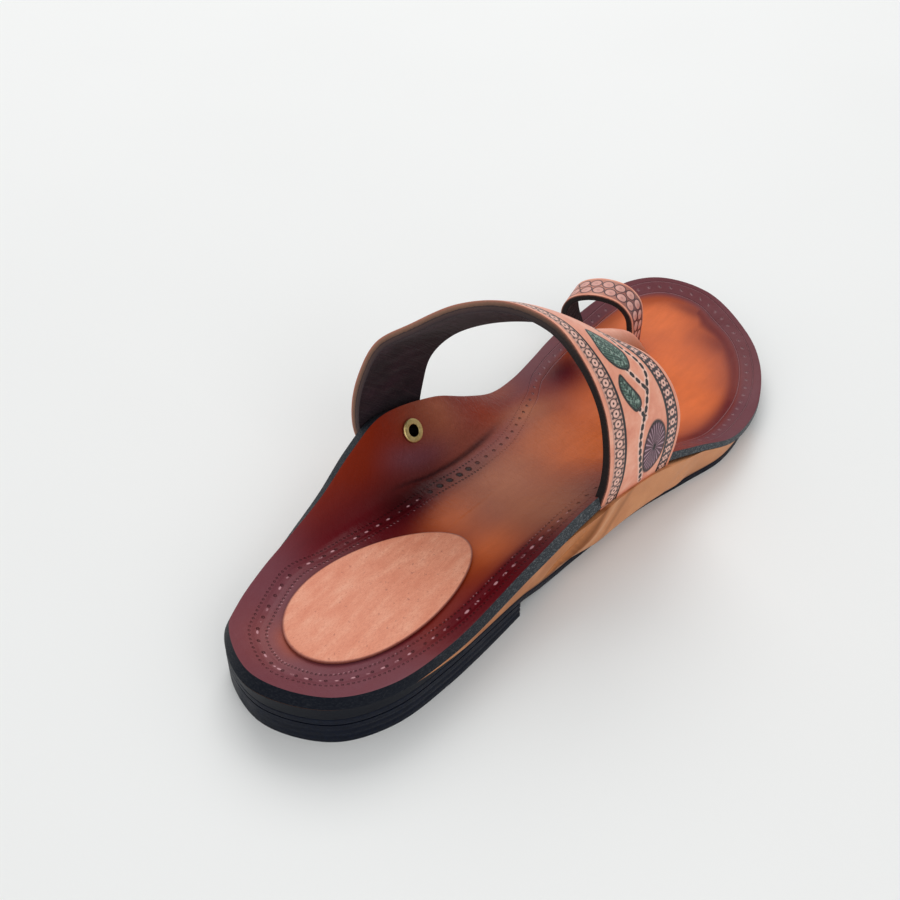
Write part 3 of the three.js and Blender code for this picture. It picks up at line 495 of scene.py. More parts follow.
def border_share(side, t):
    """Where the border line crosses the row t, as a share of the way out."""
    edge = edge_at(side, t)
    spine = spine_at(t)
    reach = np.hypot(edge[..., 0], edge[..., 1] - spine)
    beside = 1 - BORDER_INSET(edge[..., 1] / LENGTH) / reach
    y = spine + (edge[..., 1] - spine) * 0.6
    arch = np.interp(y, ARCH_BORDER[:, 1], ARCH_BORDER[:, 0]) / edge[..., 0]
    low, high = ARCH_BORDER[0, 1], ARCH_BORDER[-1, 1]
    down = smooth(y, low - BORDER_FADE, low + BORDER_FADE)
    down = down * (1 - smooth(y, high - BORDER_FADE, high + BORDER_FADE))
    return np.where(side < 0, beside + (np.minimum(arch, beside) - beside) * down, beside)


line_t = np.linspace(0, 1, 1600)
LINE_SHARE = {}
for one_side in (1, -1):
    line = bed_at(one_side, line_t, border_share(np.full(1600, one_side), line_t))
    LINE_SHARE[one_side] = run_along(line) / run_along(line)[-1]
    print("border on side", one_side, "is", round(run_along(line)[-1]), "mm long")

# The dyes, each rubbed on in patches, and patches of painted sheen: x, y, half width across, half length along,
# weight.
RUST = [(-35, 78, 8, 24, 1), (-40, 104, 7, 16, 0.9), (-28, 139, 8, 9, 0.9), (-2, 88, 13, 16, 1),
        (17, 76, 9, 18, 0.9), (-4, 66, 8, 10, 0.6), (0, 247, 14, 5, 0.8), (24, 48, 6, 14, 0.5)]
ORANGE = [(13, 153, 14, 20, 1), (2, 148, 11, 13, 0.7), (-8, 148, 8, 13, 0.6), (16, 90, 8, 12, 0.7),
          (-2, 90, 9, 10, 0.5), (-7, 95, 7, 9, 0.7), (0, 212, 27, 28, 1), (-9, 14, 10, 9, 0.45),
          (-15, 240, 14, 13, 1), (-27, 221, 9, 17, 0.9), (21, 200, 12, 20, 1), (6, 178, 17, 15, 0.9)]
# Pale patches on the waist, by the eyelet and along the arch: a painted sheen, the reflection of the light
# painted into the colour.
SHEEN_SPOTS = [(-2, 118, 16, 22, 1), (15, 114, 13, 15, 0.9), (-9, 147, 9, 14, 0.6), (-32, 117, 7, 11, 0.8),
        (-19, 156, 6, 13, 0.9), (24, 114, 7, 13, 0.7), (-36, 165, 6, 18, 0.5)]
# Thin grey mauve bands beside the arch crease: painted sheen, a painted reflection.
CREASE_SHEEN = [(-16, 138, 4, 12, 0.5), (-14, 118, 3, 10, 0.3)]
CRIMSON = [(-25, 186, 8, 14, 1), (-14, 64, 8, 16, 0.9), (-16, 86, 6, 18, 1), (-24, 62, 7, 18, 0.9),
           (15, 242, 10, 5, 0.6), (28, 229, 5, 10, 0.4), (-2, 252, 16, 3, 0.6), (-31, 112, 5, 8, 0.3),
           (20, 40, 8, 10, 0.4)]
WINE = [(-20, 94, 5, 16, 0.8), (-22, 83, 5, 9, 0.5), (-15, 77, 5, 10, 0.25), (-28, 187, 5, 7, 0.5),
        (-13, 116, 3, 10, 0.35)]


def rubbed(x, y, spots):
    """Soft spots of stain, laid over each other."""
    bare = np.ones_like(x)
    for cx, cy, wide, long, weight in spots:
        bare *= 1 - weight * np.exp(-(((x - cx) / wide) ** 2 + ((y - cy) / long) ** 2) * 0.8)
    return 1 - bare


def between(y, low, high, soft):
    """1 from one place along the shoe to another, with soft ends."""
    return smooth(y, low - soft, low + soft) * (1 - smooth(y, high - soft, high + soft))


def bed_marks(t, across, depth):
    side, r = sides(across)
    edge = edge_at(side, t)
    reach = np.hypot(edge[..., 0], edge[..., 1] - spine_at(t))
    along = np.where(side > 0, np.interp(t, line_t, LINE_SHARE[1]), np.interp(t, line_t, LINE_SHARE[-1]))
    inside = (border_share(side, t) - r) * reach
    from_edge = (1 - r) * reach
    x, y, _ = bed_at(side, t, r).T
    outer, inner = side > 0, side < 0
    # The rim keeps its greyed plum at the heel and the toe; along the outer side it is crimson.
    heel = np.where(outer, 1 - smooth(y, 26, 50), 1 - smooth(y, 34, 60))
    toe = np.where(outer, smooth(y, 158, 186), smooth(y, 152, 178))
    rim = np.maximum(heel * 0.85 * (1 - smooth(from_edge, 11, 20)), toe * (1 - smooth(from_edge, 7, 10.5)))
    welt = outer * between(y, 46, 98, 12) * (1 - smooth(from_edge, 7, 11))
    burnt = toe * np.exp(-(((from_edge - 10.5) / 3.2) ** 2)) * np.where(x > -4, 0.85, 0.3)
    # Along the arch crease: a painted shade in the crease itself, and painted sheen, a painted reflection, on
    # either side of it.
    fold = x - np.interp(y, ARCH_CREASE[:, 1], ARCH_CREASE[:, 0])
    crease = inner * between(y, 84, 136, 14) * np.exp(-((fold / 1.1) ** 2))
    sheen = inner * between(y, 90, 112, 10) * np.exp(-(((fold + 5) / 3) ** 2))
    sheen_beside_crease = inner * between(y, 104, 150, 12) * np.exp(-(((fold - 3.2) / 2.2) ** 2))
    deep = inner * between(y, 96, 118, 5)
    # Where the pale painted glints show: at the heel, and along the outer welt, which is also pressed deeper.
    welt_and_glints = np.maximum(0.6 * (1 - smooth(y, 88, 96)), outer * between(y, 46, 108, 14))
    tip = 0.22 * toe * (1 - smooth(from_edge, 6, 9))
    # First channel: the plum rim stain with painted sheen; third: the wine patches and darker toe rim with the
    # painted shade of the crease.
    over = [np.maximum.reduce([rubbed(x, y, CREASE_SHEEN), rim, 0.9 * sheen, 0.45 * sheen_beside_crease]),
            np.maximum.reduce([rubbed(x, y, CRIMSON), welt, burnt]),
            np.maximum.reduce([rubbed(x, y, WINE), crease, tip])]
    return {
        "border": np.stack([along * STAMPS * STAMP, inside, from_edge], -1),
        # The sheen spots go into the third channel of this first mark: a painted reflection stored beside the
        # stains.
        "dye": np.stack([rubbed(x, y, RUST), rubbed(x, y, ORANGE), rubbed(x, y, SHEEN_SPOTS)], -1),
        "stain_sheen_and_shade": np.stack(over, -1),
        "tooling": np.stack([deep, welt_and_glints, toe], -1),
        "cut": np.stack([along * STAMPS * STAMP, depth * FOOTBED, y], -1),
    }

# %% [markdown]
# ## Leather finishes
#
# The leather is vegetable tanned buffalo hide: full grain, stained by hand and burnished to a shine. Under
# a lens its grain is a net of fine pores about 0.4 mm apart, which breaks up the gloss. Cut edges are dyed
# and rubbed, and show the fibre. One recipe makes the grain for all of them, because it is one kind of hide.

# %% Grain, and the stain of the footbed
PORE = 0.45  # mm
WRINKLE = 2.6  # mm


def per_metre(millimetres):
    """The noise scale whose features are this wide, on Object coordinates in metres."""
    return 1 / (millimetres * MM)


def grain(depth, after=None, pore=PORE, wrinkle=WRINKLE):
    """The normal of a full-grain face: pores, and a slow wrinkle under them."""
    place = add("TexCoord", out=3)
    pores = add("TexVoronoi", place, named={"Scale": per_metre(pore)}, feature="SMOOTH_F1")
    folds = add("TexNoise", place, named={"Scale": per_metre(wrinkle), "Detail": 4.0})
    height = add("Math/MULTIPLY_ADD", pores, 0.35, folds)
    return add("Bump", named={"Height": height, "Distance": depth * MM, "Strength": 1.0,
                              **({"Normal": after} if after else {})})


def band(value, low, high, soft=0.15):
    """1 where the value lies between two limits, with soft ends."""
    rise = add("MapRange", value, low - soft, low + soft, 0.0, 1.0)
    fall = add("MapRange", value, high - soft, high + soft, 1.0, 0.0)
    return add("Math/MULTIPLY", rise, fall)


def mark(name):
    """The three numbers stored at the corners under this name."""
    stored = add("Attribute", out=1, attribute_name=name)
    return [add("SeparateXYZ", stored, out=i) for i in range(3)]


def stamps(run, off, pitch, shift=0.0):
    """Distance, in mm, from the nearest of a row of stamps."""
    step = add("Math/ADD", add("Math/DIVIDE", run, pitch), shift)
    beside = add("Math/MULTIPLY", add("Math/SUBTRACT", add("Math/FRACT", step), 0.5), pitch)
    return add("Math/SQRT", add("Math/MULTIPLY_ADD", beside, beside, add("Math/MULTIPLY", off, off)))


stained, tree, shader = finish("hand_stained_footbed_leather")
# The third channel of this mark is a painted sheen, a painted reflection on the waist.
rust, orange, sheen_spots = mark("dye")
# This mark holds the plum rim stain with painted sheen beside the arch crease, the crimson stain, and the wine
# patches with the painted shade of the crease.
rim_stain_and_sheen, crimson, wine_and_crease_shade = mark("stain_sheen_and_shade")
deep, welt_and_glints, toe = mark("tooling")
run, inside, from_edge = mark("border")
place = add("TexCoord", out=3)
cloud = add("TexNoise", place, named={"Scale": per_metre(34), "Detail": 5.0, "Roughness": 0.6})
streak = add("TexNoise", add("Mapping", place, named={"Scale": (4.0, 1.0, 1.0)}),
             named={"Scale": per_metre(22), "Detail": 6.0, "Roughness": 0.65})
wander = add("MapRange", cloud, 0.3, 0.7, 0.88, 1.2)
ground = add("ValToRGB", streak, ramp=((0.3, "#5c1a22"), (0.5, "#6b222a"), (0.7, "#7a3034")))
# The pale '#b06a4b' layer is the painted sheen of the waist, laid on like the stains.
for amount, weight, colour in ((rust, 1.0, "#862505"), (orange, 1.0, "#e06f38"), (sheen_spots, 0.85, "#b06a4b"),
                               (rim_stain_and_sheen, 0.85, "#77464f"), (crimson, 1.0, "#5c000e"), (wine_and_crease_shade, 0.9, "#24060b")):
    laid = add("Math/MULTIPLY", add("Math/MULTIPLY", amount, wander), weight, use_clamp=True)
    ground = add("Mix/RGBA", laid, ground, colour)
ground = add("Mix/RGBA", add("MapRange", streak, 0.4, 0.7, 0.0, 0.16), ground, "#5a1a14")

outward = add("Math/MAXIMUM", welt_and_glints, deep)
stamp_gap = stamps(run, inside, STAMP)
dimple_size = add("MapRange", deep, 0.0, 1.0, 0.6, 1.15)
dimple = add("MapRange", add("Math/SUBTRACT", stamp_gap, dimple_size), -0.4, 0.1, 1.0, 0.0)
inner_dots = stamps(run, add("Math/SUBTRACT", inside, 2.7), STAMP / 3)
outer_dots = stamps(run, add("Math/ADD", inside, 2.4), STAMP / 3)
dots = add("MapRange", add("Math/MINIMUM", inner_dots, outer_dots), 0.2, 0.42, 1.0, 0.0)
dots = add("Math/MULTIPLY", dots, add("MapRange", outward, 0.0, 1.0, 0.2, 1.0))
scribed = add("Math/MULTIPLY", add("Math/MAXIMUM", band(inside, 2.5, 2.9, 0.15),
                                      band(inside, -2.6, -2.3, 0.15)), toe)
welt = add("Math/MULTIPLY", band(inside, -1.3, 1.3, 0.5), welt_and_glints)
press = add("Math/MAXIMUM", add("Math/MAXIMUM", dimple, dots), add("Math/MULTIPLY", welt, 0.4))
press = add("Math/MAXIMUM", press, add("Math/MULTIPLY", scribed, 0.4))
burn = add("Math/MULTIPLY", add("Math/MAXIMUM", dimple, add("Math/MULTIPLY", dots, 0.6)),
            add("MapRange", deep, 0.0, 1.0, 0.3, 0.95))
ground = add("Mix/RGBA", burn, ground, "#1c0408")
# Painted highlights: pale glints beside the stamps of the heel and the outer welt and pale sparks on the inner
# row of dots, a noise keeping some and dropping others; at the toe the same pale colour marks the stamps and
# the scribed lines.
flake = add("TexNoise", place, named={"Scale": per_metre(2.6), "Detail": 2.0})
glint_mask = add("MapRange", flake, 0.44, 0.54, 0.0, 1.0)
glint = stamps(add("Math/ADD", run, 1.3), add("Math/MULTIPLY", inside, 2.0), STAMP)
glint = add("MapRange", add("Math/MULTIPLY_ADD", welt_and_glints, -0.75, glint), 0.05, 0.4, 1.0, 0.0)
sparks = stamps(add("Math/ADD", run, 0.4), add("Math/SUBTRACT", inside, 3.0), STAMP / 3)
sparks = add("MapRange", sparks, 0.2, 0.38, 0.5, 0.0)
light = add("Math/MULTIPLY", add("Math/MAXIMUM", glint, sparks), glint_mask)
light = add("Math/MULTIPLY", light, add("MapRange", welt_and_glints, 0.0, 0.5, 0.0, 1.0))
plain = add("Math/MULTIPLY", add("MapRange", stamp_gap, 0.5, 0.85, 0.45, 0.0), toe)
light = add("Math/MAXIMUM", add("Math/MULTIPLY", light, 0.8), plain)
light = add("Math/MAXIMUM", light, add("Math/MULTIPLY", scribed, 0.3))
put(shader.inputs["Base Color"], add("Mix/RGBA", light, ground, "#cf9aa0"))
pressed = add("Bump", named={"Height": press, "Distance": 1.0 * MM, "Strength": 1.0}, invert=True)
ripple = add("TexNoise", add("Mapping", place, named={"Scale": (0.45, 1.0, 1.0), "Rotation": (0.0, 0.0, 0.5)}),
             named={"Scale": per_metre(2.2), "Detail": 3.0, "Distortion": 0.4})
waist = add("Math/SUBTRACT", 1.0, add("Math/MAXIMUM", welt_and_glints, toe))
pressed = add("Bump", named={"Height": add("Math/MULTIPLY", ripple, waist), "Distance": 0.5 * MM,
                             "Normal": pressed})
put(shader.inputs["Normal"], grain(0.12, pressed))
put(shader.inputs["Roughness"], add("MapRange", cloud, 0.3, 0.7, 0.34, 0.46))
shader.inputs["Specular IOR Level"].default_value = 0.09
shader.inputs["Coat Weight"].default_value = 0.06
shader.inputs["Coat Roughness"].default_value = 0.2

# %% [markdown]
# ## Cut edges and the other hides
#
# The edge of the footbed is dyed almost black behind and fades to a grey green ahead, with the speckle of the
# open fibre. Its back, and the lining of the strap, are a dark suede. The cover of the wedge is tan hide drawn
# tight over the wedge, so it carries a few long creases, and the sole under it is black. The shade in those
# creases and the highlight on the ridge between them are painted into the tan, and its front is painted
# lighter, a painted highlight.

# %% Edge dye, suede, tan and black
edge_dye, tree, shader = finish("dyed_cut_edge_leather")
_, _, y = mark("cut")
place = add("TexCoord", out=3)
fibre = add("TexNoise", add("Mapping", place, named={"Scale": (1.0, 1.0, 3.0)}),
            named={"Scale": per_metre(0.9), "Detail": 5.0, "Roughness": 0.7})
ahead = add("MapRange", y, 30.0, 110.0, 0.0, 1.0)
outer = add("MapRange", add("SeparateXYZ", place), -20 * MM, 20 * MM, 0.4, 1.0)
ahead = add("Math/MULTIPLY", ahead, outer)
dye = add("Mix/RGBA", ahead, "#040a18", "#3a3e42")
speckle = add("MapRange", fibre, 0.5, 0.66, 0.0, 0.6)
speckle = add("Math/MULTIPLY", speckle, add("MapRange", ahead, 0.0, 1.0, 0.1, 1.0))
put(shader.inputs["Base Color"], add("Mix/RGBA", speckle, dye, "#8f9496"))
put(shader.inputs["Normal"], add("Bump", named={"Height": fibre, "Distance": 0.25 * MM}))
shader.inputs["Roughness"].default_value = 0.5
shader.inputs["Specular IOR Level"].default_value = 0.12

suede, tree, shader = finish("dark_suede_lining")
place = add("TexCoord", out=3)
nap = add("TexNoise", place, named={"Scale": per_metre(0.5), "Detail": 4.0, "Roughness": 0.7})
run, _, across = mark("cut")
flat = add("CombineXYZ", add("Math/MULTIPLY", run, 0.55), add("Math/MULTIPLY", across, 1.6), 0.0)
hairs = add("TexNoise", flat, named={"Scale": 1.0, "Detail": 5.0, "Roughness": 0.65, "Distortion": 0.6})
shade = add("TexNoise", place, named={"Scale": per_metre(14), "Detail": 5.0})
tone = add("ValToRGB", shade, ramp=((0.3, "#160a12"), (0.55, "#23111b"), (0.75, "#361d2a")))
tone = add("Mix/RGBA", add("MapRange", hairs, 0.5, 0.7, 0.0, 0.5), tone, "#3f2a30")
put(shader.inputs["Base Color"], add("Mix/RGBA", add("MapRange", nap, 0.5, 0.75, 0.0, 0.3), tone, "#5a373c"))
streaked = add("Bump", named={"Height": hairs, "Distance": 0.9 * MM})
put(shader.inputs["Normal"], grain(0.2, streaked, pore=0.6, wrinkle=5.0))
shader.inputs["Roughness"].default_value = 0.82
shader.inputs["Specular IOR Level"].default_value = 0.15
shader.inputs["Sheen Weight"].default_value = 0.08
shader.inputs["Sheen Roughness"].default_value = 0.5

TAN_STARTS, TAN_FULL = 29, 56  # mm from the heel, where the tan shows as a thin line and over the whole wall
tan, tree, shader = finish("tan_wedge_cover_leather")
_, level, y = mark("cut")
place = add("TexCoord", out=3)
tone = add("TexNoise", place, named={"Scale": per_metre(16), "Detail": 6.0, "Roughness": 0.6})
hide = add("ValToRGB", tone, ramp=((0.25, "#a1633a"), (0.5, "#b97648"), (0.75, "#cc8d5e")))
scuffs = add("TexNoise", add("Mapping", place, named={"Scale": (1.0, 0.6, 1.5)}),
             named={"Scale": per_metre(3), "Detail": 8.0, "Roughness": 0.8})
hide = add("Mix/RGBA", add("MapRange", scuffs, 0.55, 0.75, 0.0, 0.3), hide, "#8a5534")
hide = add("Mix/RGBA", add("MapRange", level, 0.86, 1.0, 0.0, 0.9), hide, "#2b1c16")
# Lighter towards the front: a painted highlight where light falls on the front of the wall.
hide = add("Mix/RGBA", add("MapRange", y, 98.0, 155.0, 0.0, 0.45), hide, "#dca078")
outer = add("MapRange", add("SeparateXYZ", place), 0.0, 10 * MM, 0.0, 1.0)
# Painted shade and highlight along the folds behind the strap: dark bands in the two creases and a pale band on
# the ridge between them.
fold = add("Math/MULTIPLY_ADD", level, 24.0, y)
FOLD_SHADE_AND_HIGHLIGHT = [(119.0, 121.5, 1.6, 0.85, "#6a3a1f"), (124.5, 128.5, 2.2, 0.4, "#e2b088"),
               (133.0, 135.0, 1.8, 0.6, "#6f4023")]  # mm from the heel, from and to, soft, then how strong
for back, front, soft, depth, colour in FOLD_SHADE_AND_HIGHLIGHT:
    drawn = add("Math/MULTIPLY", band(fold, back, front, soft), add("Math/MULTIPLY", outer, depth))
    hide = add("Mix/RGBA", drawn, hide, colour)
reach = add("MapRange", y, TAN_STARTS, TAN_FULL, 0.0, 1.0)
dyed = add("MapRange", add("Math/SUBTRACT", level, reach), -0.06, 0.02, 0.0, 1.0)
put(shader.inputs["Base Color"], add("Mix/RGBA", dyed, hide, "#070b16"))
put(shader.inputs["Normal"], grain(0.12, wrinkle=6.0))
put(shader.inputs["Roughness"], add("MapRange", dyed, 0.0, 1.0, 0.42, 0.55))
shader.inputs["Specular IOR Level"].default_value = 0.14

black, tree, shader = finish("black_resin_rubber_sole")
place = add("TexCoord", out=3)
_, level, _ = mark("cut")
rubber = add("TexNoise", place, named={"Scale": per_metre(1.2), "Detail": 6.0, "Roughness": 0.7})
wear = add("TexNoise", place, named={"Scale": per_metre(9), "Detail": 6.0, "Roughness": 0.7})
tone = add("ValToRGB", rubber, ramp=((0.3, "#030713"), (0.6, "#060e20"), (0.8, "#111d32")))
put(shader.inputs["Base Color"], add("Mix/RGBA", add("MapRange", wear, 0.55, 0.75, 0.0, 0.22), tone, "#2b3646"))
put(shader.inputs["Normal"], add("Bump", named={"Height": rubber, "Distance": 0.2 * MM}))
put(shader.inputs["Roughness"], add("MapRange", wear, 0.3, 0.7, 0.36, 0.55))
shader.inputs["Specular IOR Level"].default_value = 0.13

# %% [markdown]
# ## The footbed
#
# The footbed is one thick sheet. Rows run from heel to toe, and columns from the arch edge over the middle
# line to the outer edge, so that the grid follows the last. At the heel and the toe the two halves of a row
# meet, and their doubles are merged to close the sheet.

# %% Footbed
BED_STEPS = (300, 96)


def bed_place(t, across, depth):
    side, r = sides(across)
    top = bed_at(side, t, r)
    return top + (bed_under(side, t, r) - top) * depth[..., None]


footbed = sheet("footbed_leather", BED_STEPS, bed_place, (stained, edge_dye, suede), bed_marks, rim=0.7,
                closed=("heel", "toe"))
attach(footbed, "root")
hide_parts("footbed")

bare = bmesh.new()
bare.from_mesh(footbed.data)
BED = BVHTree.FromBMesh(bare)
bare.free()


def bed_height(x, y):
    """Height of the footbed's face over points of the plan, in mm."""
    tops = []
    for px, py in zip(np.ravel(x) + OFFSET[0], np.ravel(y) + OFFSET[1]):
        hit = BED.ray_cast((px * MM, py * MM, 0.2), (0, 0, -1))[0]
        tops.append(hit.z / MM if hit else np.nan)
    return np.reshape(tops, np.shape(x))


# %% [markdown]
# ## Sole: outsole, heel block and wedge
#
# The outsole is a flat sheet that rises over the heel block and bends up to the toe. The wedge lies between
# it and the footbed, and its cover swells out round the tucked end of the strap. The heel block is cut off
# straight at its front, so it is built too long and then cut by a plane.

# %% Outsole, wedge and heel
HALF = (150, 36)


def outsole_place(t, across, depth):
    side, share = sides(across)
    top, merged = outsole_top(side, t, share)
    base = fold_at("base", side, edge_at(side, t)[..., 1] / LENGTH)
    down = bed_normal_at(side, t, base * share)
    down = down * merged + np.array([0, 0, 1]) * (1 - merged)
    return top - down * (OUTSOLE * depth)[..., None]


def sole_marks(t, across, depth):
    side, _ = sides(across)
    return {"cut": np.stack([t * LENGTH, depth, edge_at(side, t)[..., 1]], -1)}


outsole = sheet("outsole_rubber", HALF, outsole_place, (black, black, black), sole_marks, rim=0.3,
                closed=("heel", "toe"))
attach(outsole, "root")
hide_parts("outsole")

WEDGE_TAIL = 0.815  # share of LENGTH where the cover is pared to nothing
STRAP_PROUD, WALL_COVER, STRAP_TUCK = 1.7, 1.6, 11  # mm
STRAP_REAR, STRAP_FRONT = (0.456, 0.336), (0.589, 0.457)  # shares of LENGTH, outer and arch side
STRAP_REAR_Y, STRAP_FRONT_Y = STRAP_REAR[0] * LENGTH, STRAP_FRONT[0] * LENGTH
CREASES = [(1.6, 117, 24, 2), (-1, 124, 30, 3.4), (0.5, 168, 20, 2.6)]  # deep, y at the top, y lost below, wide
wedge_t = t_at_y(1, WEDGE_TAIL * LENGTH)


def wedge_place(v, across, depth):
    side, share = sides(across)
    t = v * wedge_t
    base = fold_at("base", side, edge_at(side, t)[..., 1] / LENGTH)
    top = bed_under(side, t, base * share, GAP)
    below = outsole_top(side, t, share)[0] + np.array([0, 0, GAP])
    below[..., 2] = np.minimum(below[..., 2], top[..., 2] - 0.05)
    p = top + (below - top) * depth[..., None]
    fade = 2 * STRAP_TUCK
    window = smooth(p[..., 1], STRAP_REAR_Y - fade, STRAP_REAR_Y)
    window = window * (1 - smooth(p[..., 1], STRAP_FRONT_Y, STRAP_FRONT_Y + fade))
    edge_x = edge_at(1, t_at_y(1, p[..., 1]))[..., 0]
    swell = np.maximum(edge_x + STRAP_PROUD + GAP + WALL_COVER - p[..., 0], 0)
    swell = swell * window * (1 - smooth(depth, 0.6, 1)) * (side > 0) * (share > 0.999)
    crease = sum(deep * np.exp(-(((p[..., 1] - y + back * depth) / wide) ** 2))
                 for deep, y, back, wide in CREASES)
    wall = (share > 0.999) * np.sin(np.pi * depth)
    p[..., 0] += swell - side * crease * wall
    return p


def wedge_marks(v, across, depth):
    return sole_marks(v * wedge_t, across, depth)


wedge = sheet("wedge_cover_leather", HALF, wedge_place, (tan, tan, tan), wedge_marks, walls=12, rim=0.3,
              closed=("heel",))
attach(wedge, "root")
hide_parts("midsole")

heel_t = t_at_y(1, BREAST_Y * 1.2)


def heel_place(v, across, depth):
    side, share = sides(across)
    top = outsole_top(side, v * heel_t, share)[0]
    top[..., 2] -= OUTSOLE + GAP
    layer = 0.22 * (np.abs(depth * 3 % 1 - 0.5) > 0.42) * (depth > 0.1) * (depth < 0.9) * (share > 0.999)
    x = top[..., 0] * (1 - layer / np.maximum(np.abs(top[..., 0]), 8))
    return np.stack([x, top[..., 1], top[..., 2] * (1 - depth)], -1)


heel = sheet("heel_block", (90, 36), heel_place, (black, black, black), sole_marks, walls=12, rim=0,
             closed=("heel",))
bm = bmesh.new()
bm.from_mesh(heel.data)
breast = Vector((0, (BREAST_Y + OFFSET[1]) * MM, 0))
cut = bmesh.ops.bisect_plane(bm, geom=bm.verts[:] + bm.edges[:] + bm.faces[:], plane_co=breast,
                             plane_no=(0, 1, 0), clear_outer=True)
rim_edges = [e for e in cut["geom_cut"] if isinstance(e, bmesh.types.BMEdge)]
bmesh.ops.holes_fill(bm, edges=rim_edges, sides=0)
bmesh.ops.recalc_face_normals(bm, faces=bm.faces)
bm.to_mesh(heel.data)
bm.free()
heel.data.set_sharp_from_angle(angle=math.radians(50))
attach(heel, "root")
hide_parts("heel")

# %% [markdown]
# ## The pad in the heel
#
# An oval of undyed leather lies in the heel. It is a thin sheet in polar rows: along goes round the oval
# and across from its middle to its edge. Each corner is dropped on the footbed by a ray. Its face keeps the
# pale salmon of natural hide, with the streaks of the growing skin, and a dark line round it.

# %% Heel pad
PAD_LENGTH, PAD_WIDTH, PAD_THICKNESS = 70, 39.5, 1  # mm
PAD_X, PAD_Y = 2.6, 50.5
PAD_TURN, PAD_TAPER = math.radians(8.5), 0.17
natural, tree, shader = finish("natural_vegetable_tanned_leather")
place = add("TexCoord", out=3)
lengthwise = add("Mapping", place, named={"Rotation": (0.0, 0.0, PAD_TURN), "Scale": (3.5, 1.0, 1.0)})
growth = add("TexNoise", lengthwise, named={"Scale": per_metre(11), "Detail": 8.0, "Roughness": 0.65})
hide = add("ValToRGB", growth, ramp=((0.25, "#d9805f"), (0.5, "#e49474"), (0.75, "#eeab8c")))
fibres = add("TexNoise", lengthwise, named={"Scale": per_metre(1.0), "Detail": 5.0, "Roughness": 0.75})
hide = add("Mix/RGBA", add("MapRange", fibres, 0.45, 0.66, 0.0, 0.6), hide, "#c46a4e")
speck = add("TexNoise", place, named={"Scale": per_metre(1.3), "Detail": 2.0})
hide = add("Mix/RGBA", add("MapRange", speck, 0.66, 0.74, 0.0, 0.55), hide, "#a4503c")
_, out, _ = mark("cut")
hide = add("Mix/RGBA", add("MapRange", out, 19.2, 19.6, 0.0, 0.8), hide, "#6e2723")
put(shader.inputs["Base Color"], hide)
put(shader.inputs["Normal"], grain(0.1))
shader.inputs["Roughness"].default_value = 0.55


def pad_plan(round_share, out):
    angle = 2 * np.pi * round_share
    y = PAD_LENGTH / 2 * np.cos(angle) * out
    x = PAD_WIDTH / 2 * np.sin(angle) * (1 - PAD_TAPER * np.cos(angle)) * out
    c, s = math.cos(-PAD_TURN), math.sin(-PAD_TURN)
    return PAD_X + c * x - s * y, PAD_Y + s * x + c * y


def pad_place(round_share, out, depth):
    x, y = pad_plan(round_share, out)
    z = bed_height(x, y) + GAP + PAD_THICKNESS * (1 - depth) - 0.12 * smooth(out, 0.97, 1) * (1 - depth)
    return np.stack([x, y, z], -1)


def pad_marks(round_share, out, depth):
    return {"cut": np.stack([round_share, out * PAD_WIDTH / 2, depth], -1)}


pad = sheet("heel_pad_leather", (110, 22), pad_place, (natural, natural, natural), pad_marks, rim=0.3,
            closed=("heel", "toe", "middle"))
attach(pad, "root")
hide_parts("heel_pad")

# %% [markdown]
# ## The strap
#
# The instep strap is cut from natural hide and lined with dark suede. Its two edges rise in planes that cross
# the foot aslant. The ornament is a traditional one for such sandals: a chain of pierced rings along either
# edge, and between them a running vine with leaves and a ribbed flower, stamped and then painted. Each motif
# is given in millimetres along and across the strap, and each corner stores its distance from it.

# %% Strap sections
STRAP, STRAP_SPAN, STRAP_CROWN = 3.4, 88, 1.2  # mm
STRAP_REAR_RISE, STRAP_FRONT_RISE = 94, 72  # mm over the floor
# rear edge across and rise, front edge across and rise: shares of half the span and of the edge's rise
STRAP_SECTIONS = [
    (0.868, 0.353, 0.968, 0.43), (0.848, 0.49, 0.952, 0.599), (0.766, 0.66, 0.843, 0.763),
    (0.591, 0.83, 0.68, 0.871), (0.364, 0.956, 0.409, 0.935), (0.057, 1.002, 0.091, 0.993),
    (-0.266, 0.963, -0.182, 0.993), (-0.598, 0.85, -0.5, 0.938), (-0.83, 0.755, -0.75, 0.84),
    (-0.959, 0.606, -0.92, 0.694), (-1.009, 0.463, -0.982, 0.528),
]
STRAP_CLEAR = 1.9
STRAP_END = [(0.97, 1), (0.88, 0.7), (0.8, 0.3), (0.73, 0.3)]
STRAP_LEAN = 0.08


def strap_edge(lateral, medial, across_key, rise_key, rise_size):
    y0, y1 = lateral * LENGTH, medial * LENGTH
    t0, t1 = t_at_y(1, y0), t_at_y(-1, y1)
    outer = edge_at(1, t0)[0] + STRAP_PROUD
    inner = edge_at(-1, t1)[0] - FOOTBED
    low = bed_at(1, t0, 1)[2] - FOOTBED
    points = [(outer - 0.8, y0, low - STRAP_TUCK), (outer - 0.3, y0, low - STRAP_TUCK / 2), (outer, y0, low)]
    for row in STRAP_SECTIONS:
        x, z = row[across_key] * STRAP_SPAN / 2, row[rise_key] * rise_size
        y = y0 + (x - outer) / (inner - outer) * (y1 - y0) + STRAP_LEAN * (z - low)
        points.append((x, y, z))
    for out, clear in STRAP_END:
        distance = FOOTBED + clear * STRAP_CLEAR + STRAP
        points.append(bed_at(-1, t1, out) - bed_normal_at(-1, t1, out) * distance)
    return through(points)


REAR_LINE = strap_edge(*STRAP_REAR, 0, 1, STRAP_REAR_RISE)
FRONT_LINE = strap_edge(*STRAP_FRONT, 2, 3, STRAP_FRONT_RISE)
REAR_RUN, FRONT_RUN = run_along(REAR_LINE), run_along(FRONT_LINE)


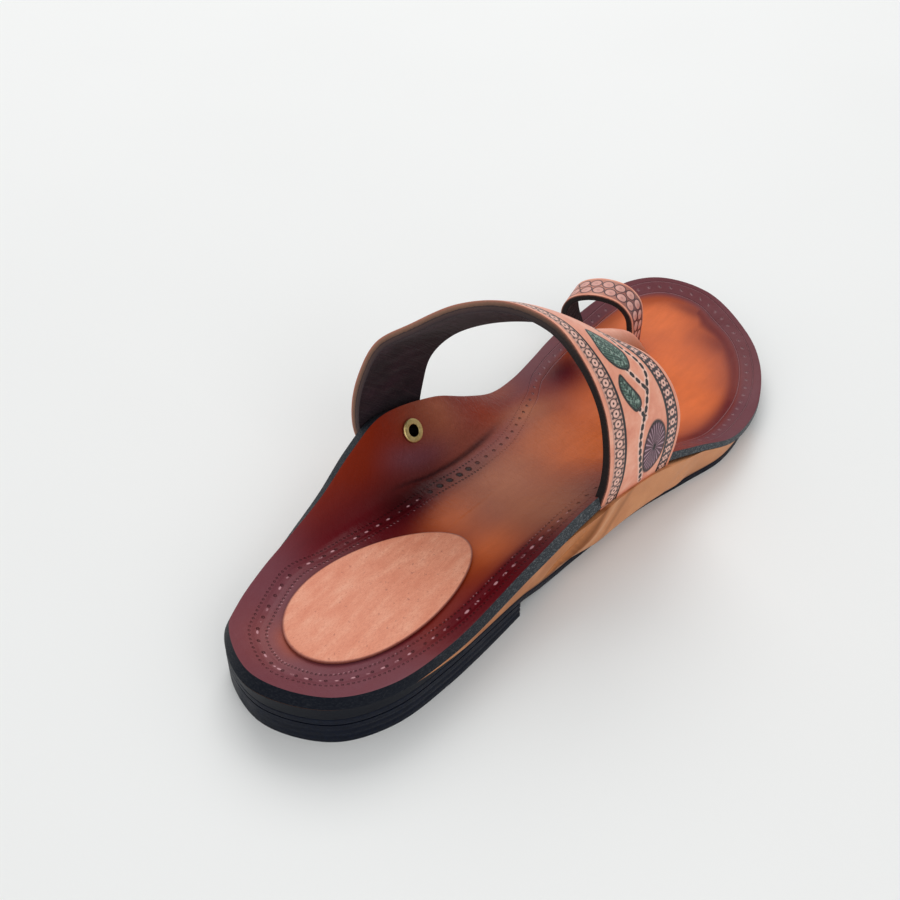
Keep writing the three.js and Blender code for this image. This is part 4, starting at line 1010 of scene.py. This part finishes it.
def strap_at(along, across):
    """Outer face: along 0..1 from the little-toe end, across 0..1 from the rear edge."""
    back = at_run(REAR_LINE, REAR_RUN, along * REAR_RUN[-1])
    front = at_run(FRONT_LINE, FRONT_RUN, along * FRONT_RUN[-1])
    step = 0.01
    tangent = (at_run(REAR_LINE, REAR_RUN, np.minimum(along + step, 1) * REAR_RUN[-1])
               - at_run(REAR_LINE, REAR_RUN, np.maximum(along - step, 0) * REAR_RUN[-1]))
    out = np.cross(front - back, tangent)
    out /= np.linalg.norm(out, axis=-1, keepdims=True)
    crown = STRAP_CROWN * np.sin(np.pi * along) * 4 * across * (1 - across)
    return back + (front - back) * across[..., None] + out * crown[..., None]


# %% [markdown]
# ## Ornament of the strap
#
# The outlines of the leaves, the vine and the flower are short lists of points. The strap is marked the same
# from both of its ends, since only the little-toe end is seen. Each corner stores how far it is from a motif.

# %% Ornament of the strap
LEAVES = [  # mm along from the little-toe end, mm across from the rear edge
    [(78.4, 15.2), (74.4, 19.8), (69.4, 22.2), (65.3, 22.6), (61.6, 20.9), (59.6, 18.3), (61.6, 14),
     (65.2, 11.6), (69.4, 10.9), (73.6, 12)],
    [(59.4, 12.4), (55.4, 14.1), (51.4, 16), (48.3, 17.1), (46, 16.5), (45, 14), (47.3, 12), (51.2, 10.2),
     (55, 9.6), (57.6, 10.4)],
]
MIDRIBS = [((60, 18.3), (77.6, 15.2)), ((45.2, 14.6), (59.6, 11.4))]
VINES = [
    [(78, 27), (72.7, 26.5), (66.9, 24.8), (62.2, 25.4), (58.4, 25.9), (54.7, 25.2), (51.4, 23), (47.3, 20.5),
     (43.2, 18.2), (40.4, 16.5), (36.8, 15.1), (32.4, 14.4), (26.5, 15), (20.3, 16.8), (14.1, 19.2)],
    [(61.6, 16.6), (58.4, 17.7), (54.5, 19.4), (50.5, 21.5)],
    [(46.7, 14.9), (43.6, 16.1), (40.9, 17.7)],
]
FLOWER = (27, 22.3)  # mm
FLOWER_HALF = (10.2, 5.6)
STRAP_WIDTH = 36


def nearest(points, line):
    """Distance of each point from a line, and how far along the line it lies."""
    run = run_along(line)
    gaps = np.full(len(points), 1e3)
    runs = np.zeros(len(points))
    for a, b, start in zip(line[:-1], line[1:], run):
        span = b - a
        share = np.clip((points - a) @ span / (span @ span), 0, 1)
        gap = np.linalg.norm(points - a - share[:, None] * span, axis=1)
        closer = gap < gaps
        gaps = np.where(closer, gap, gaps)
        runs = np.where(closer, start + share * np.linalg.norm(span), runs)
    return gaps, runs


def within(points, ring):
    """Which points lie inside a closed line, by counting the edges that they pass."""
    odd = np.zeros(len(points), bool)
    for (ax, ay), (bx, by) in zip(ring[:-1], ring[1:]):
        crosses = (ay > points[:, 1]) != (by > points[:, 1])
        at = ax + (points[:, 1] - ay) / (by - ay if by != ay else 1e-9) * (bx - ax)
        odd ^= crosses & (points[:, 0] < at)
    return odd


def strap_marks(along, across, depth):
    length = REAR_RUN[-1] + (FRONT_RUN[-1] - REAR_RUN[-1]) * across
    run = along * length
    mirrored = np.minimum(run, length - run)
    points = np.stack([mirrored, across * STRAP_WIDTH], -1)
    leaf = np.full(len(points), 50.0)
    for ring in LEAVES:
        line = through(ring, closed=True, steps=8)
        gap, _ = nearest(points, line)
        leaf = np.minimum(leaf, np.where(within(points, line), -gap, gap))
    vine, vine_run = np.full(len(points), 50.0), np.zeros(len(points))
    for route in VINES:
        gap, runs = nearest(points, through(route, steps=8))
        vine_run = np.where(gap < vine, runs, vine_run)
        vine = np.minimum(vine, gap)
    rib_gap, rib_run = np.full(len(points), 50.0), np.zeros(len(points))
    for rib in MIDRIBS:
        gap, runs = nearest(points, np.array(rib))
        rib_run = np.where(gap < rib_gap, runs, rib_run)
        rib_gap = np.minimum(rib_gap, gap)
    bloom = (points - np.array(FLOWER)) / np.array(FLOWER_HALF)
    edge = np.minimum(across, 1 - across) * STRAP_WIDTH
    return {
        "band": np.stack([run, edge, mirrored], -1),
        "ornament": np.stack([leaf, vine, vine_run], -1),
        "bloom": np.stack([bloom[:, 0], bloom[:, 1], across * STRAP_WIDTH], -1),
        "veins": np.stack([rib_gap, rib_run, rib_run], -1),
        "cut": np.stack([run, depth, across], -1),
    }


# %% [markdown]
# ## Finishes of the strap
#
# The face starts as the pink of natural hide. Each motif is laid over it in turn: the dark bands, their rings
# in bare hide, the black beaded vine with its pale outline, the green leaves with their ribs, and the plum
# flower, whose ribs fan out from its heart. The cut edge shows its layers: face, core and lining.

# %% Strap face and strap edge
RING_PITCH = 3.85  # mm
RING_LINE = 4.4  # mm from the edge
RING_RADIUS = 1.35


def pink_hide():
    place = add("TexCoord", out=3)
    growth = add("TexNoise", place, named={"Scale": per_metre(7), "Detail": 8.0, "Roughness": 0.65})
    return add("ValToRGB", growth, ramp=((0.25, "#d67f66"), (0.5, "#e5977b"), (0.75, "#efb096")))


strap_face, tree, shader = finish("stamped_and_painted_strap_leather")
run, edge, _ = mark("band")
leaf, vine, vine_run = mark("ornament")
east, north, across = mark("bloom")
paint = pink_hide()
belt = band(edge, 1.75, 7.1, 0.2)
rear = add("MapRange", across, 12.0, 30.0, 1.0, 0.0)
paint = add("Mix/RGBA", belt, paint, add("Mix/RGBA", rear, "#33262a", "#cf9d8c"))
off = add("Math/SUBTRACT", edge, RING_LINE)
far = stamps(run, off, RING_PITCH)
ring = band(far, 0.42, RING_RADIUS, 0.14)
paint = add("Mix/RGBA", ring, paint, "#ecb9a8")
beads = stamps(run, add("Math/SUBTRACT", add("Math/ABSOLUTE", off), 1.75), RING_PITCH / 2)
bead = add("MapRange", beads, 0.4, 0.62, 1.0, 0.0)
bead_paint = add("Mix/RGBA", rear, "#d9a496", "#241a1d")
paint = add("Mix/RGBA", add("Math/MULTIPLY", bead, 0.85), paint, bead_paint)
ink = add("Math/MAXIMUM", band(far, 1.5, 1.85, 0.1), add("MapRange", far, 0.3, 0.45, 1.0, 0.0))
paint = add("Mix/RGBA", add("Math/MULTIPLY", ink, rear), paint, "#2b1d20")
outer_line = add("MapRange", rear, 0.0, 1.0, 1.0, 0.15)
outer_line = add("Math/MULTIPLY", band(edge, 1.5, 1.95, 0.12), outer_line)
lines = add("Math/MAXIMUM", outer_line, band(edge, 6.75, 7.7, 0.12))
paint = add("Mix/RGBA", lines, paint, "#171216")

halo = add("MapRange", vine, 1.05, 1.45, 0.6, 0.0)
paint = add("Mix/RGBA", halo, paint, "#f0cfc0")
beaded = add("Math/FRACT", add("Math/DIVIDE", vine_run, 3.2))
knot = add("Math/SUBTRACT", vine, add("Math/MULTIPLY", band(beaded, 0.12, 0.78, 0.1), 0.5))
stem = add("MapRange", knot, 0.12, 0.3, 1.0, 0.0)
paint = add("Mix/RGBA", stem, paint, "#1d1618")
in_leaf = add("MapRange", leaf, -0.15, 0.15, 1.0, 0.0)
rib_gap, rib_run, _ = mark("veins")
chevron = add("Math/FRACT", add("Math/DIVIDE", add("Math/SUBTRACT", rib_run, rib_gap), 1.5))
ribs = add("Math/MULTIPLY", band(chevron, 0.18, 0.82, 0.12), add("MapRange", rib_gap, 0.2, 0.5, 0.0, 1.0))
place = add("TexCoord", out=3)
mottle = add("TexNoise", place, named={"Scale": per_metre(1.1), "Detail": 3.0})
green = add("Mix/RGBA", ribs, "#1b2f26", "#3f5f52")
green = add("Mix/RGBA", add("MapRange", mottle, 0.5, 0.62, 0.0, 0.6), green, "#a5bcad")
paint = add("Mix/RGBA", in_leaf, paint, green)
leaf_line = band(leaf, -0.55, 0.3, 0.15)
paint = add("Mix/RGBA", leaf_line, paint, "#151c19")

spread = add("Math/SQRT", add("Math/MULTIPLY_ADD", east, east, add("Math/MULTIPLY", north, north)))
fan = add("Math/SINE", add("Math/MULTIPLY", add("Math/ARCTAN2", north, east), 24.0))
petal = add("MapRange", fan, 0.1, 0.9, 0.0, 1.0)
in_flower = add("MapRange", spread, 0.97, 1.03, 1.0, 0.0)
paint = add("Mix/RGBA", in_flower, paint, add("Mix/RGBA", petal, "#4a1f31", "#b08a98"))
heart = add("MapRange", spread, 0.1, 0.16, 1.0, 0.0)
heart = add("Math/MAXIMUM", heart, band(spread, 0.92, 1.06, 0.04))
paint = add("Mix/RGBA", heart, paint, "#2b151d")
put(shader.inputs["Base Color"], paint)

height = add("Math/MULTIPLY", lines, -0.5)
for motif, lift in ((ring, 0.55), (belt, -0.25), (bead, 0.3), (stem, -0.45), (leaf_line, -0.5),
                    (add("Math/MULTIPLY", in_leaf, ribs), 0.3),
                    (add("Math/MULTIPLY", in_flower, petal), 0.4), (heart, -0.4)):
    height = add("Math/MULTIPLY_ADD", motif, lift, height)
stamped = add("Bump", named={"Height": height, "Distance": 0.7 * MM, "Strength": 1.0})
put(shader.inputs["Normal"], grain(0.08, stamped))
shader.inputs["Roughness"].default_value = 0.5
shader.inputs["Coat Weight"].default_value = 0.1

strap_cut, tree, shader = finish("layered_cut_edge_leather")
run, depth, _ = mark("cut")
place = add("TexCoord", out=3)
fibre = add("TexNoise", place, named={"Scale": per_metre(0.8), "Detail": 5.0, "Roughness": 0.7})
layers = add("Math/MULTIPLY_ADD", add("MapRange", fibre, 0.3, 0.7, -1.0, 1.0), 0.05, depth)
raw = add("ValToRGB", layers, ramp=((0.0, "#b9745e"), (0.22, "#8a6450"), (0.45, "#6a4a3a"), (0.52, "#241619"),
                                    (0.62, "#4a3430"), (1.0, "#2c1c22")))
inked = add("ValToRGB", layers, ramp=((0.0, "#b9745e"), (0.16, "#4a2e26"), (0.3, "#140c0c"), (1.0, "#100a0b")))
put(shader.inputs["Base Color"], add("Mix/RGBA", add("MapRange", run, 70.0, 115.0, 0.0, 1.0), inked, raw))
put(shader.inputs["Normal"], add("Bump", named={"Height": fibre, "Distance": 0.3 * MM}))
shader.inputs["Roughness"].default_value = 0.75

# %% [markdown]
# ## Laying the strap
#
# The strap is laid between its two edges, with its face outward and its thickness under it.

# %% Strap
STRAP_STEPS = (330, 60)


def strap_place(along, across, depth):
    """The lining puckers where the strap turns in at the arch, because it is glued round the bend."""
    face = strap_at(along, across)
    step = 0.004
    ahead = strap_at(np.clip(along + step, 0, 1), across) - strap_at(np.clip(along - step, 0, 1), across)
    wide = strap_at(along, np.clip(across + step, 0, 1)) - strap_at(along, np.clip(across - step, 0, 1))
    out = np.cross(wide, ahead)
    out /= np.linalg.norm(out, axis=-1, keepdims=True)
    bend = np.exp(-(((along - 0.8) / 0.09) ** 2))
    wave = np.sin(along * 150 + 6 * across) + 0.6 * np.sin(along * 263 - 9 * across)
    pucker = 0.12 * bend * wave * np.sin(np.pi * across)
    return face - out * ((STRAP + pucker * depth) * depth)[..., None]


strap = sheet("instep_strap_leather", STRAP_STEPS, strap_place, (strap_face, strap_cut, suede), strap_marks,
              rim=0.35)
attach(strap, "root")
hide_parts("upper")

# %% [markdown]
# ## Toe loop
#
# A narrow band with two rows of stamped rings makes the loop round the big toe. It is a sheet on a path whose
# ends go into the footbed.

# %% Toe loop
LOOP, LOOP_BAND, LOOP_SPAN, LOOP_RISE, LOOP_SHIFT = 2.6, 13, 25.6, 26.3, 4.6  # mm
LOOP_TURN = math.radians(14)
LOOP_ALONG, LOOP_ACROSS = 0.77, -0.385  # its inner leg, shares of LENGTH and BALL_WIDTH
LOOP_SECTIONS = [  # across, rise, ahead: shares of LOOP_SPAN, LOOP_RISE and LOOP_SHIFT
    (0, 0.12, 0), (-0.1, 0.38, 0.05), (-0.13, 0.65, 0.12), (-0.02, 0.86, 0.25), (0.22, 0.98, 0.4),
    (0.5, 1, 0.6), (0.76, 0.93, 0.75), (0.94, 0.73, 0.92), (1, 0.45, 1), (1, 0.15, 1),
]
opening = np.array([-math.sin(LOOP_TURN), math.cos(LOOP_TURN), 0])
sideways = np.array([opening[1], -opening[0], 0])
loop_y = LOOP_ALONG * LENGTH
loop_foot = np.array([LOOP_ACROSS * BALL_WIDTH, loop_y, float(floor_at(np.float64(loop_y)))])


def loop_point(across, rise, ahead):
    plan = loop_foot + sideways * across * LOOP_SPAN + opening * ahead * LOOP_SHIFT
    return plan + np.array([0, 0, rise * LOOP_RISE])


def sunk(point, depth=2.5):
    """The same point of the plan, this far inside the footbed."""
    return np.array([point[0], point[1], float(bed_height(point[0], point[1])) - depth])


loop_path = [loop_point(*row) for row in LOOP_SECTIONS]
loop_line = through([sunk(loop_path[0]), *loop_path, sunk(loop_path[-1])])
loop_run = run_along(loop_line)
top = len(loop_line) // 2
top_out = np.cross(loop_line[top + 1] - loop_line[top], opening)
LOOP_WAY = -1 if top_out[2] > 0 else 1  # so that the back lies under the face


def loop_place(along, across, depth):
    step = 0.01
    at = at_run(loop_line, loop_run, along * loop_run[-1])
    ahead = at_run(loop_line, loop_run, np.minimum(along + step, 1) * loop_run[-1])
    ahead = ahead - at_run(loop_line, loop_run, np.maximum(along - step, 0) * loop_run[-1])
    out = np.cross(ahead, opening)
    out /= np.linalg.norm(out, axis=-1, keepdims=True)
    return at + opening * (across * LOOP_BAND)[..., None] + out * LOOP_WAY * (LOOP * depth)[..., None]


def loop_marks(along, across, depth):
    run = along * loop_run[-1]
    return {"band": np.stack([run, across * LOOP_BAND, run], -1), "cut": np.stack([run, depth, across], -1)}


ringed, tree, shader = finish("ringed_toe_loop_leather")
run, across, _ = mark("band")
near = stamps(run, add("Math/SUBTRACT", across, 4.1), 4.9)
away = stamps(run, add("Math/SUBTRACT", across, 8.9), 4.9, 0.5)
far = add("Math/MINIMUM", near, away)
down = add("MapRange", run, 36.0, 56.0, 0.35, 0.9)
between_edges = add("Math/MULTIPLY", band(across, 1.0, 12.0, 0.3), down)
paint = add("Mix/RGBA", between_edges, pink_hide(), "#542632")
paint = add("Mix/RGBA", add("MapRange", far, 1.95, 2.1, 0.9, 0.0), paint, "#dda295")
paint = add("Mix/RGBA", band(far, 2.0, 2.45, 0.14), paint, "#301521")
paint = add("Mix/RGBA", add("MapRange", far, 0.4, 0.7, 0.35, 0.0), paint, "#8a4a52")
put(shader.inputs["Base Color"], paint)
dome = add("MapRange", far, 0.4, 1.9, 1.0, 0.0)
stamped = add("Bump", named={"Height": dome, "Distance": 0.5 * MM, "Strength": 1.0})
put(shader.inputs["Normal"], grain(0.08, stamped))
shader.inputs["Roughness"].default_value = 0.5

loop = sheet("toe_loop_leather", (150, 26), loop_place, (ringed, strap_cut, suede), loop_marks, rim=0.35)
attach(loop, "root")
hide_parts("upper")

# %% [markdown]
# ## Thong
#
# The thong leaves the strap under its front edge and comes down to the outer leg of the loop. It is rounded
# across, and flat again where it ends.

# %% Thong
THONG_BAND, THONG_CROWN, THONG_BITE, THONG_ASIDE, THONG_SHIFT = 13.5, 4.2, 1.6, 2.5, 0.8  # mm
THONG_FROM = 0.2  # share of half the strap's span, where the thong leaves it
THONG_DRAWN = 0.43  # share of the band that lies on either side, drawn in by its crown
THONG_SECTIONS = [  # reach, rise, round: shares of the way, of the strap's front rise and of THONG_CROWN
    (-0.1, 0.985, 0), (-0.02, 0.935, 0), (0.08, 0.88, 0.2), (0.3, 0.75, 0.6), (0.55, 0.59, 1), (0.78, 0.42, 1),
    (0.92, 0.28, 0.7), (1, 0.17, 0.2), (1, 0.12, 0),
]
start = FRONT_LINE[np.argmax(FRONT_LINE[:, 0] < THONG_FROM * STRAP_SPAN / 2)]
leg = loop_point(*LOOP_SECTIONS[-1]) + opening * THONG_BITE + np.array([THONG_ASIDE, 0, 0])
thong_path = [start + (leg - start) * reach for reach, _, _ in THONG_SECTIONS]
for point, (_, rise, _) in zip(thong_path, THONG_SECTIONS):
    point[2] = rise * STRAP_FRONT_RISE
thong_path.append(sunk(leg))
THONG_STEPS = 40
thong_line = through(thong_path, steps=THONG_STEPS)
thong_round = column([(i / (len(thong_path) - 1), row[2]) for i, row in enumerate(THONG_SECTIONS)], 1)


def thong_place(along, across, depth):
    ticks = np.linspace(0, 1, len(thong_line))
    at = at_run(thong_line, ticks, along)
    step = 0.01
    ahead = at_run(thong_line, ticks, np.minimum(along + step, 1))
    ahead = ahead - at_run(thong_line, ticks, np.maximum(along - step, 0))
    up = np.cross(np.array([1.0, 0, 0]), ahead)
    up /= np.linalg.norm(up, axis=-1, keepdims=True)
    side = 2 * across - 1
    crown = -THONG_CROWN * thong_round(along) * side**2
    plump = 0.3 * (1 - side**2) * np.sin(np.pi * np.clip(along, 0, 1)) * (1 - depth)
    at[..., 0] += side * THONG_BAND * THONG_DRAWN + THONG_SHIFT
    return at + up * (crown + plump - LOOP * depth)[..., None]


soft_thong, tree, shader = finish("soft_thong_leather")
_, depth, across = mark("cut")
edge = add("Math/ABSOLUTE", add("Math/SUBTRACT", across, 0.5))
lower = add("MapRange", across, 0.55, 1.0, 0.0, 0.9)
browned = add("Math/MAXIMUM", lower, add("MapRange", edge, 0.3, 0.5, 0.0, 0.5))
hide = add("Mix/RGBA", browned, pink_hide(), "#9c4c20")
put(shader.inputs["Base Color"], hide)
put(shader.inputs["Normal"], grain(0.2, wrinkle=3.5))
shader.inputs["Roughness"].default_value = 0.5

thong = sheet("thong_leather", (90, 26), thong_place, (soft_thong, strap_cut, suede), loop_marks, rim=0.5)
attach(thong, "root")
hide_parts("upper")

# %% [markdown]
# ## The hollow rivet
#
# A brass eyelet holds the strap to the flange. It is stamped from thin sheet, so its head is a rolled ring.
# Its profile is drawn as a short line and spun about its axis, and the leather is pierced under it. The
# inside of its bore is painted dark, a painted shade.

# %% Eyelet
HEAD, BARREL, BORE, HEAD_THICKNESS, GRIP = 8.6, 5.8, 4, 0.9, 11.6  # mm
brass, tree, shader = finish("rolled_brass")
place = add("TexCoord", out=3)
tarnish = add("TexNoise", place, named={"Scale": per_metre(1.5), "Detail": 6.0, "Roughness": 0.7})
metal = add("ValToRGB", tarnish, ramp=((0.3, "#b9a066"), (0.55, "#dcc486"), (0.8, "#ecdcae")))
# The bore is painted almost black: a painted shade inside the tube.
bore_shade = add("Attribute", out=2, attribute_name="bore_shade")
put(shader.inputs["Base Color"], add("Mix/RGBA", bore_shade, metal, "#1c150a"))
shader.inputs["Metallic"].default_value = 1
put(shader.inputs["Roughness"], add("MapRange", tarnish, 0.3, 0.7, 0.34, 0.5))
put(shader.inputs["Normal"], add("Bump", named={"Height": tarnish, "Distance": 0.05 * MM}))

RIVET_ALONG, RIVET_OUT = 0.395, 0.852  # shares of LENGTH and of the way out
rivet_t = t_at_y(-1, RIVET_ALONG * LENGTH)
rivet_foot = bed_at(-1, rivet_t, RIVET_OUT)
rivet_axis = Vector(bed_normal_at(-1, rivet_t, RIVET_OUT))
over_bed = 1.6 * GAP
half = math.pi / 2
roll = [(HEAD / 2 - HEAD_THICKNESS / 2 + math.cos(a) * HEAD_THICKNESS / 2,
         over_bed + HEAD_THICKNESS / 2 + math.sin(a) * HEAD_THICKNESS / 2) for a in np.linspace(-half, half, 7)]
lip = [(BORE / 2 + 0.5 - math.sin(a) * 0.5, over_bed + HEAD_THICKNESS - 0.5 + math.cos(a) * 0.5)
       for a in np.linspace(0, half, 6)]
upper_half = [(BARREL / 2, over_bed), *roll, *lip]
middle_height = over_bed - GRIP / 2
profile = upper_half + [(r, 2 * middle_height - h) for r, h in reversed(upper_half)]
bm = bmesh.new()
corners = [bm.verts.new((r * MM, 0, h * MM)) for r, h in profile]
ring_edges = [bm.edges.new(pair) for pair in zip(corners, corners[1:] + corners[:1])]
bmesh.ops.spin(bm, geom=corners + ring_edges, cent=(0, 0, 0), axis=(0, 0, 1), angle=2 * math.pi, steps=72,
               use_merge=True)
bmesh.ops.remove_doubles(bm, verts=bm.verts, dist=0.001 * MM)
bmesh.ops.recalc_face_normals(bm, faces=bm.faces)
# How far a corner lies inside the bore, which carries the painted shade.
bore_shade = [max(0.0, 1 - math.hypot(v.co.x, v.co.y) / MM / (BORE / 2 + 0.35)) * 20 for v in bm.verts]
turn = rivet_axis.to_track_quat("Z", "Y").to_matrix().to_4x4()
bmesh.ops.transform(bm, matrix=Matrix.Translation(Vector(rivet_foot + OFFSET) * MM) @ turn, verts=bm.verts)
for face in bm.faces:
    face.smooth = True
eyelet_mesh = bpy.data.meshes.new("brass_eyelet")
bm.to_mesh(eyelet_mesh)
bm.free()
store(eyelet_mesh, "bore_shade", np.clip(bore_shade, 0, 1))
eyelet_mesh.materials.append(brass)
eyelet_mesh.set_sharp_from_angle(angle=math.radians(50))
eyelet = bpy.data.objects.new("brass_eyelet", eyelet_mesh)
bpy.context.collection.objects.link(eyelet)
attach(eyelet, "root")
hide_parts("eyelet")

# %% [markdown]
# ## Piercing
#
# A round punch cuts the flange and the end of the strap where the rivet goes through.

# %% Piercing the leather
punch_mesh = bpy.data.meshes.new("punch")
bm = bmesh.new()
punch_radius = (BARREL / 2 + GAP) * MM
bmesh.ops.create_cone(bm, cap_ends=True, segments=48, radius1=punch_radius, radius2=punch_radius, depth=40 * MM)
bmesh.ops.transform(bm, matrix=Matrix.Translation(Vector(rivet_foot + OFFSET) * MM) @ turn, verts=bm.verts)
bm.to_mesh(punch_mesh)
bm.free()
punch = bpy.data.objects.new("punch", punch_mesh)
bpy.context.collection.objects.link(punch)
for piece in (footbed, strap):
    hole = piece.modifiers.new("hole", "BOOLEAN")
    hole.object = punch
    hole.solver = "EXACT"
    piece.modifiers.move(len(piece.modifiers) - 1, 0)
    pierced = bpy.data.meshes.new_from_object(piece.evaluated_get(bpy.context.evaluated_depsgraph_get()))
    piece.modifiers.clear()
    pierced.name = piece.data.name + "_pierced"
    piece.data = pierced
    print(piece.name, "pierced,", len(pierced.polygons), "faces", len(pierced.materials), "finishes")
bpy.data.objects.remove(punch)
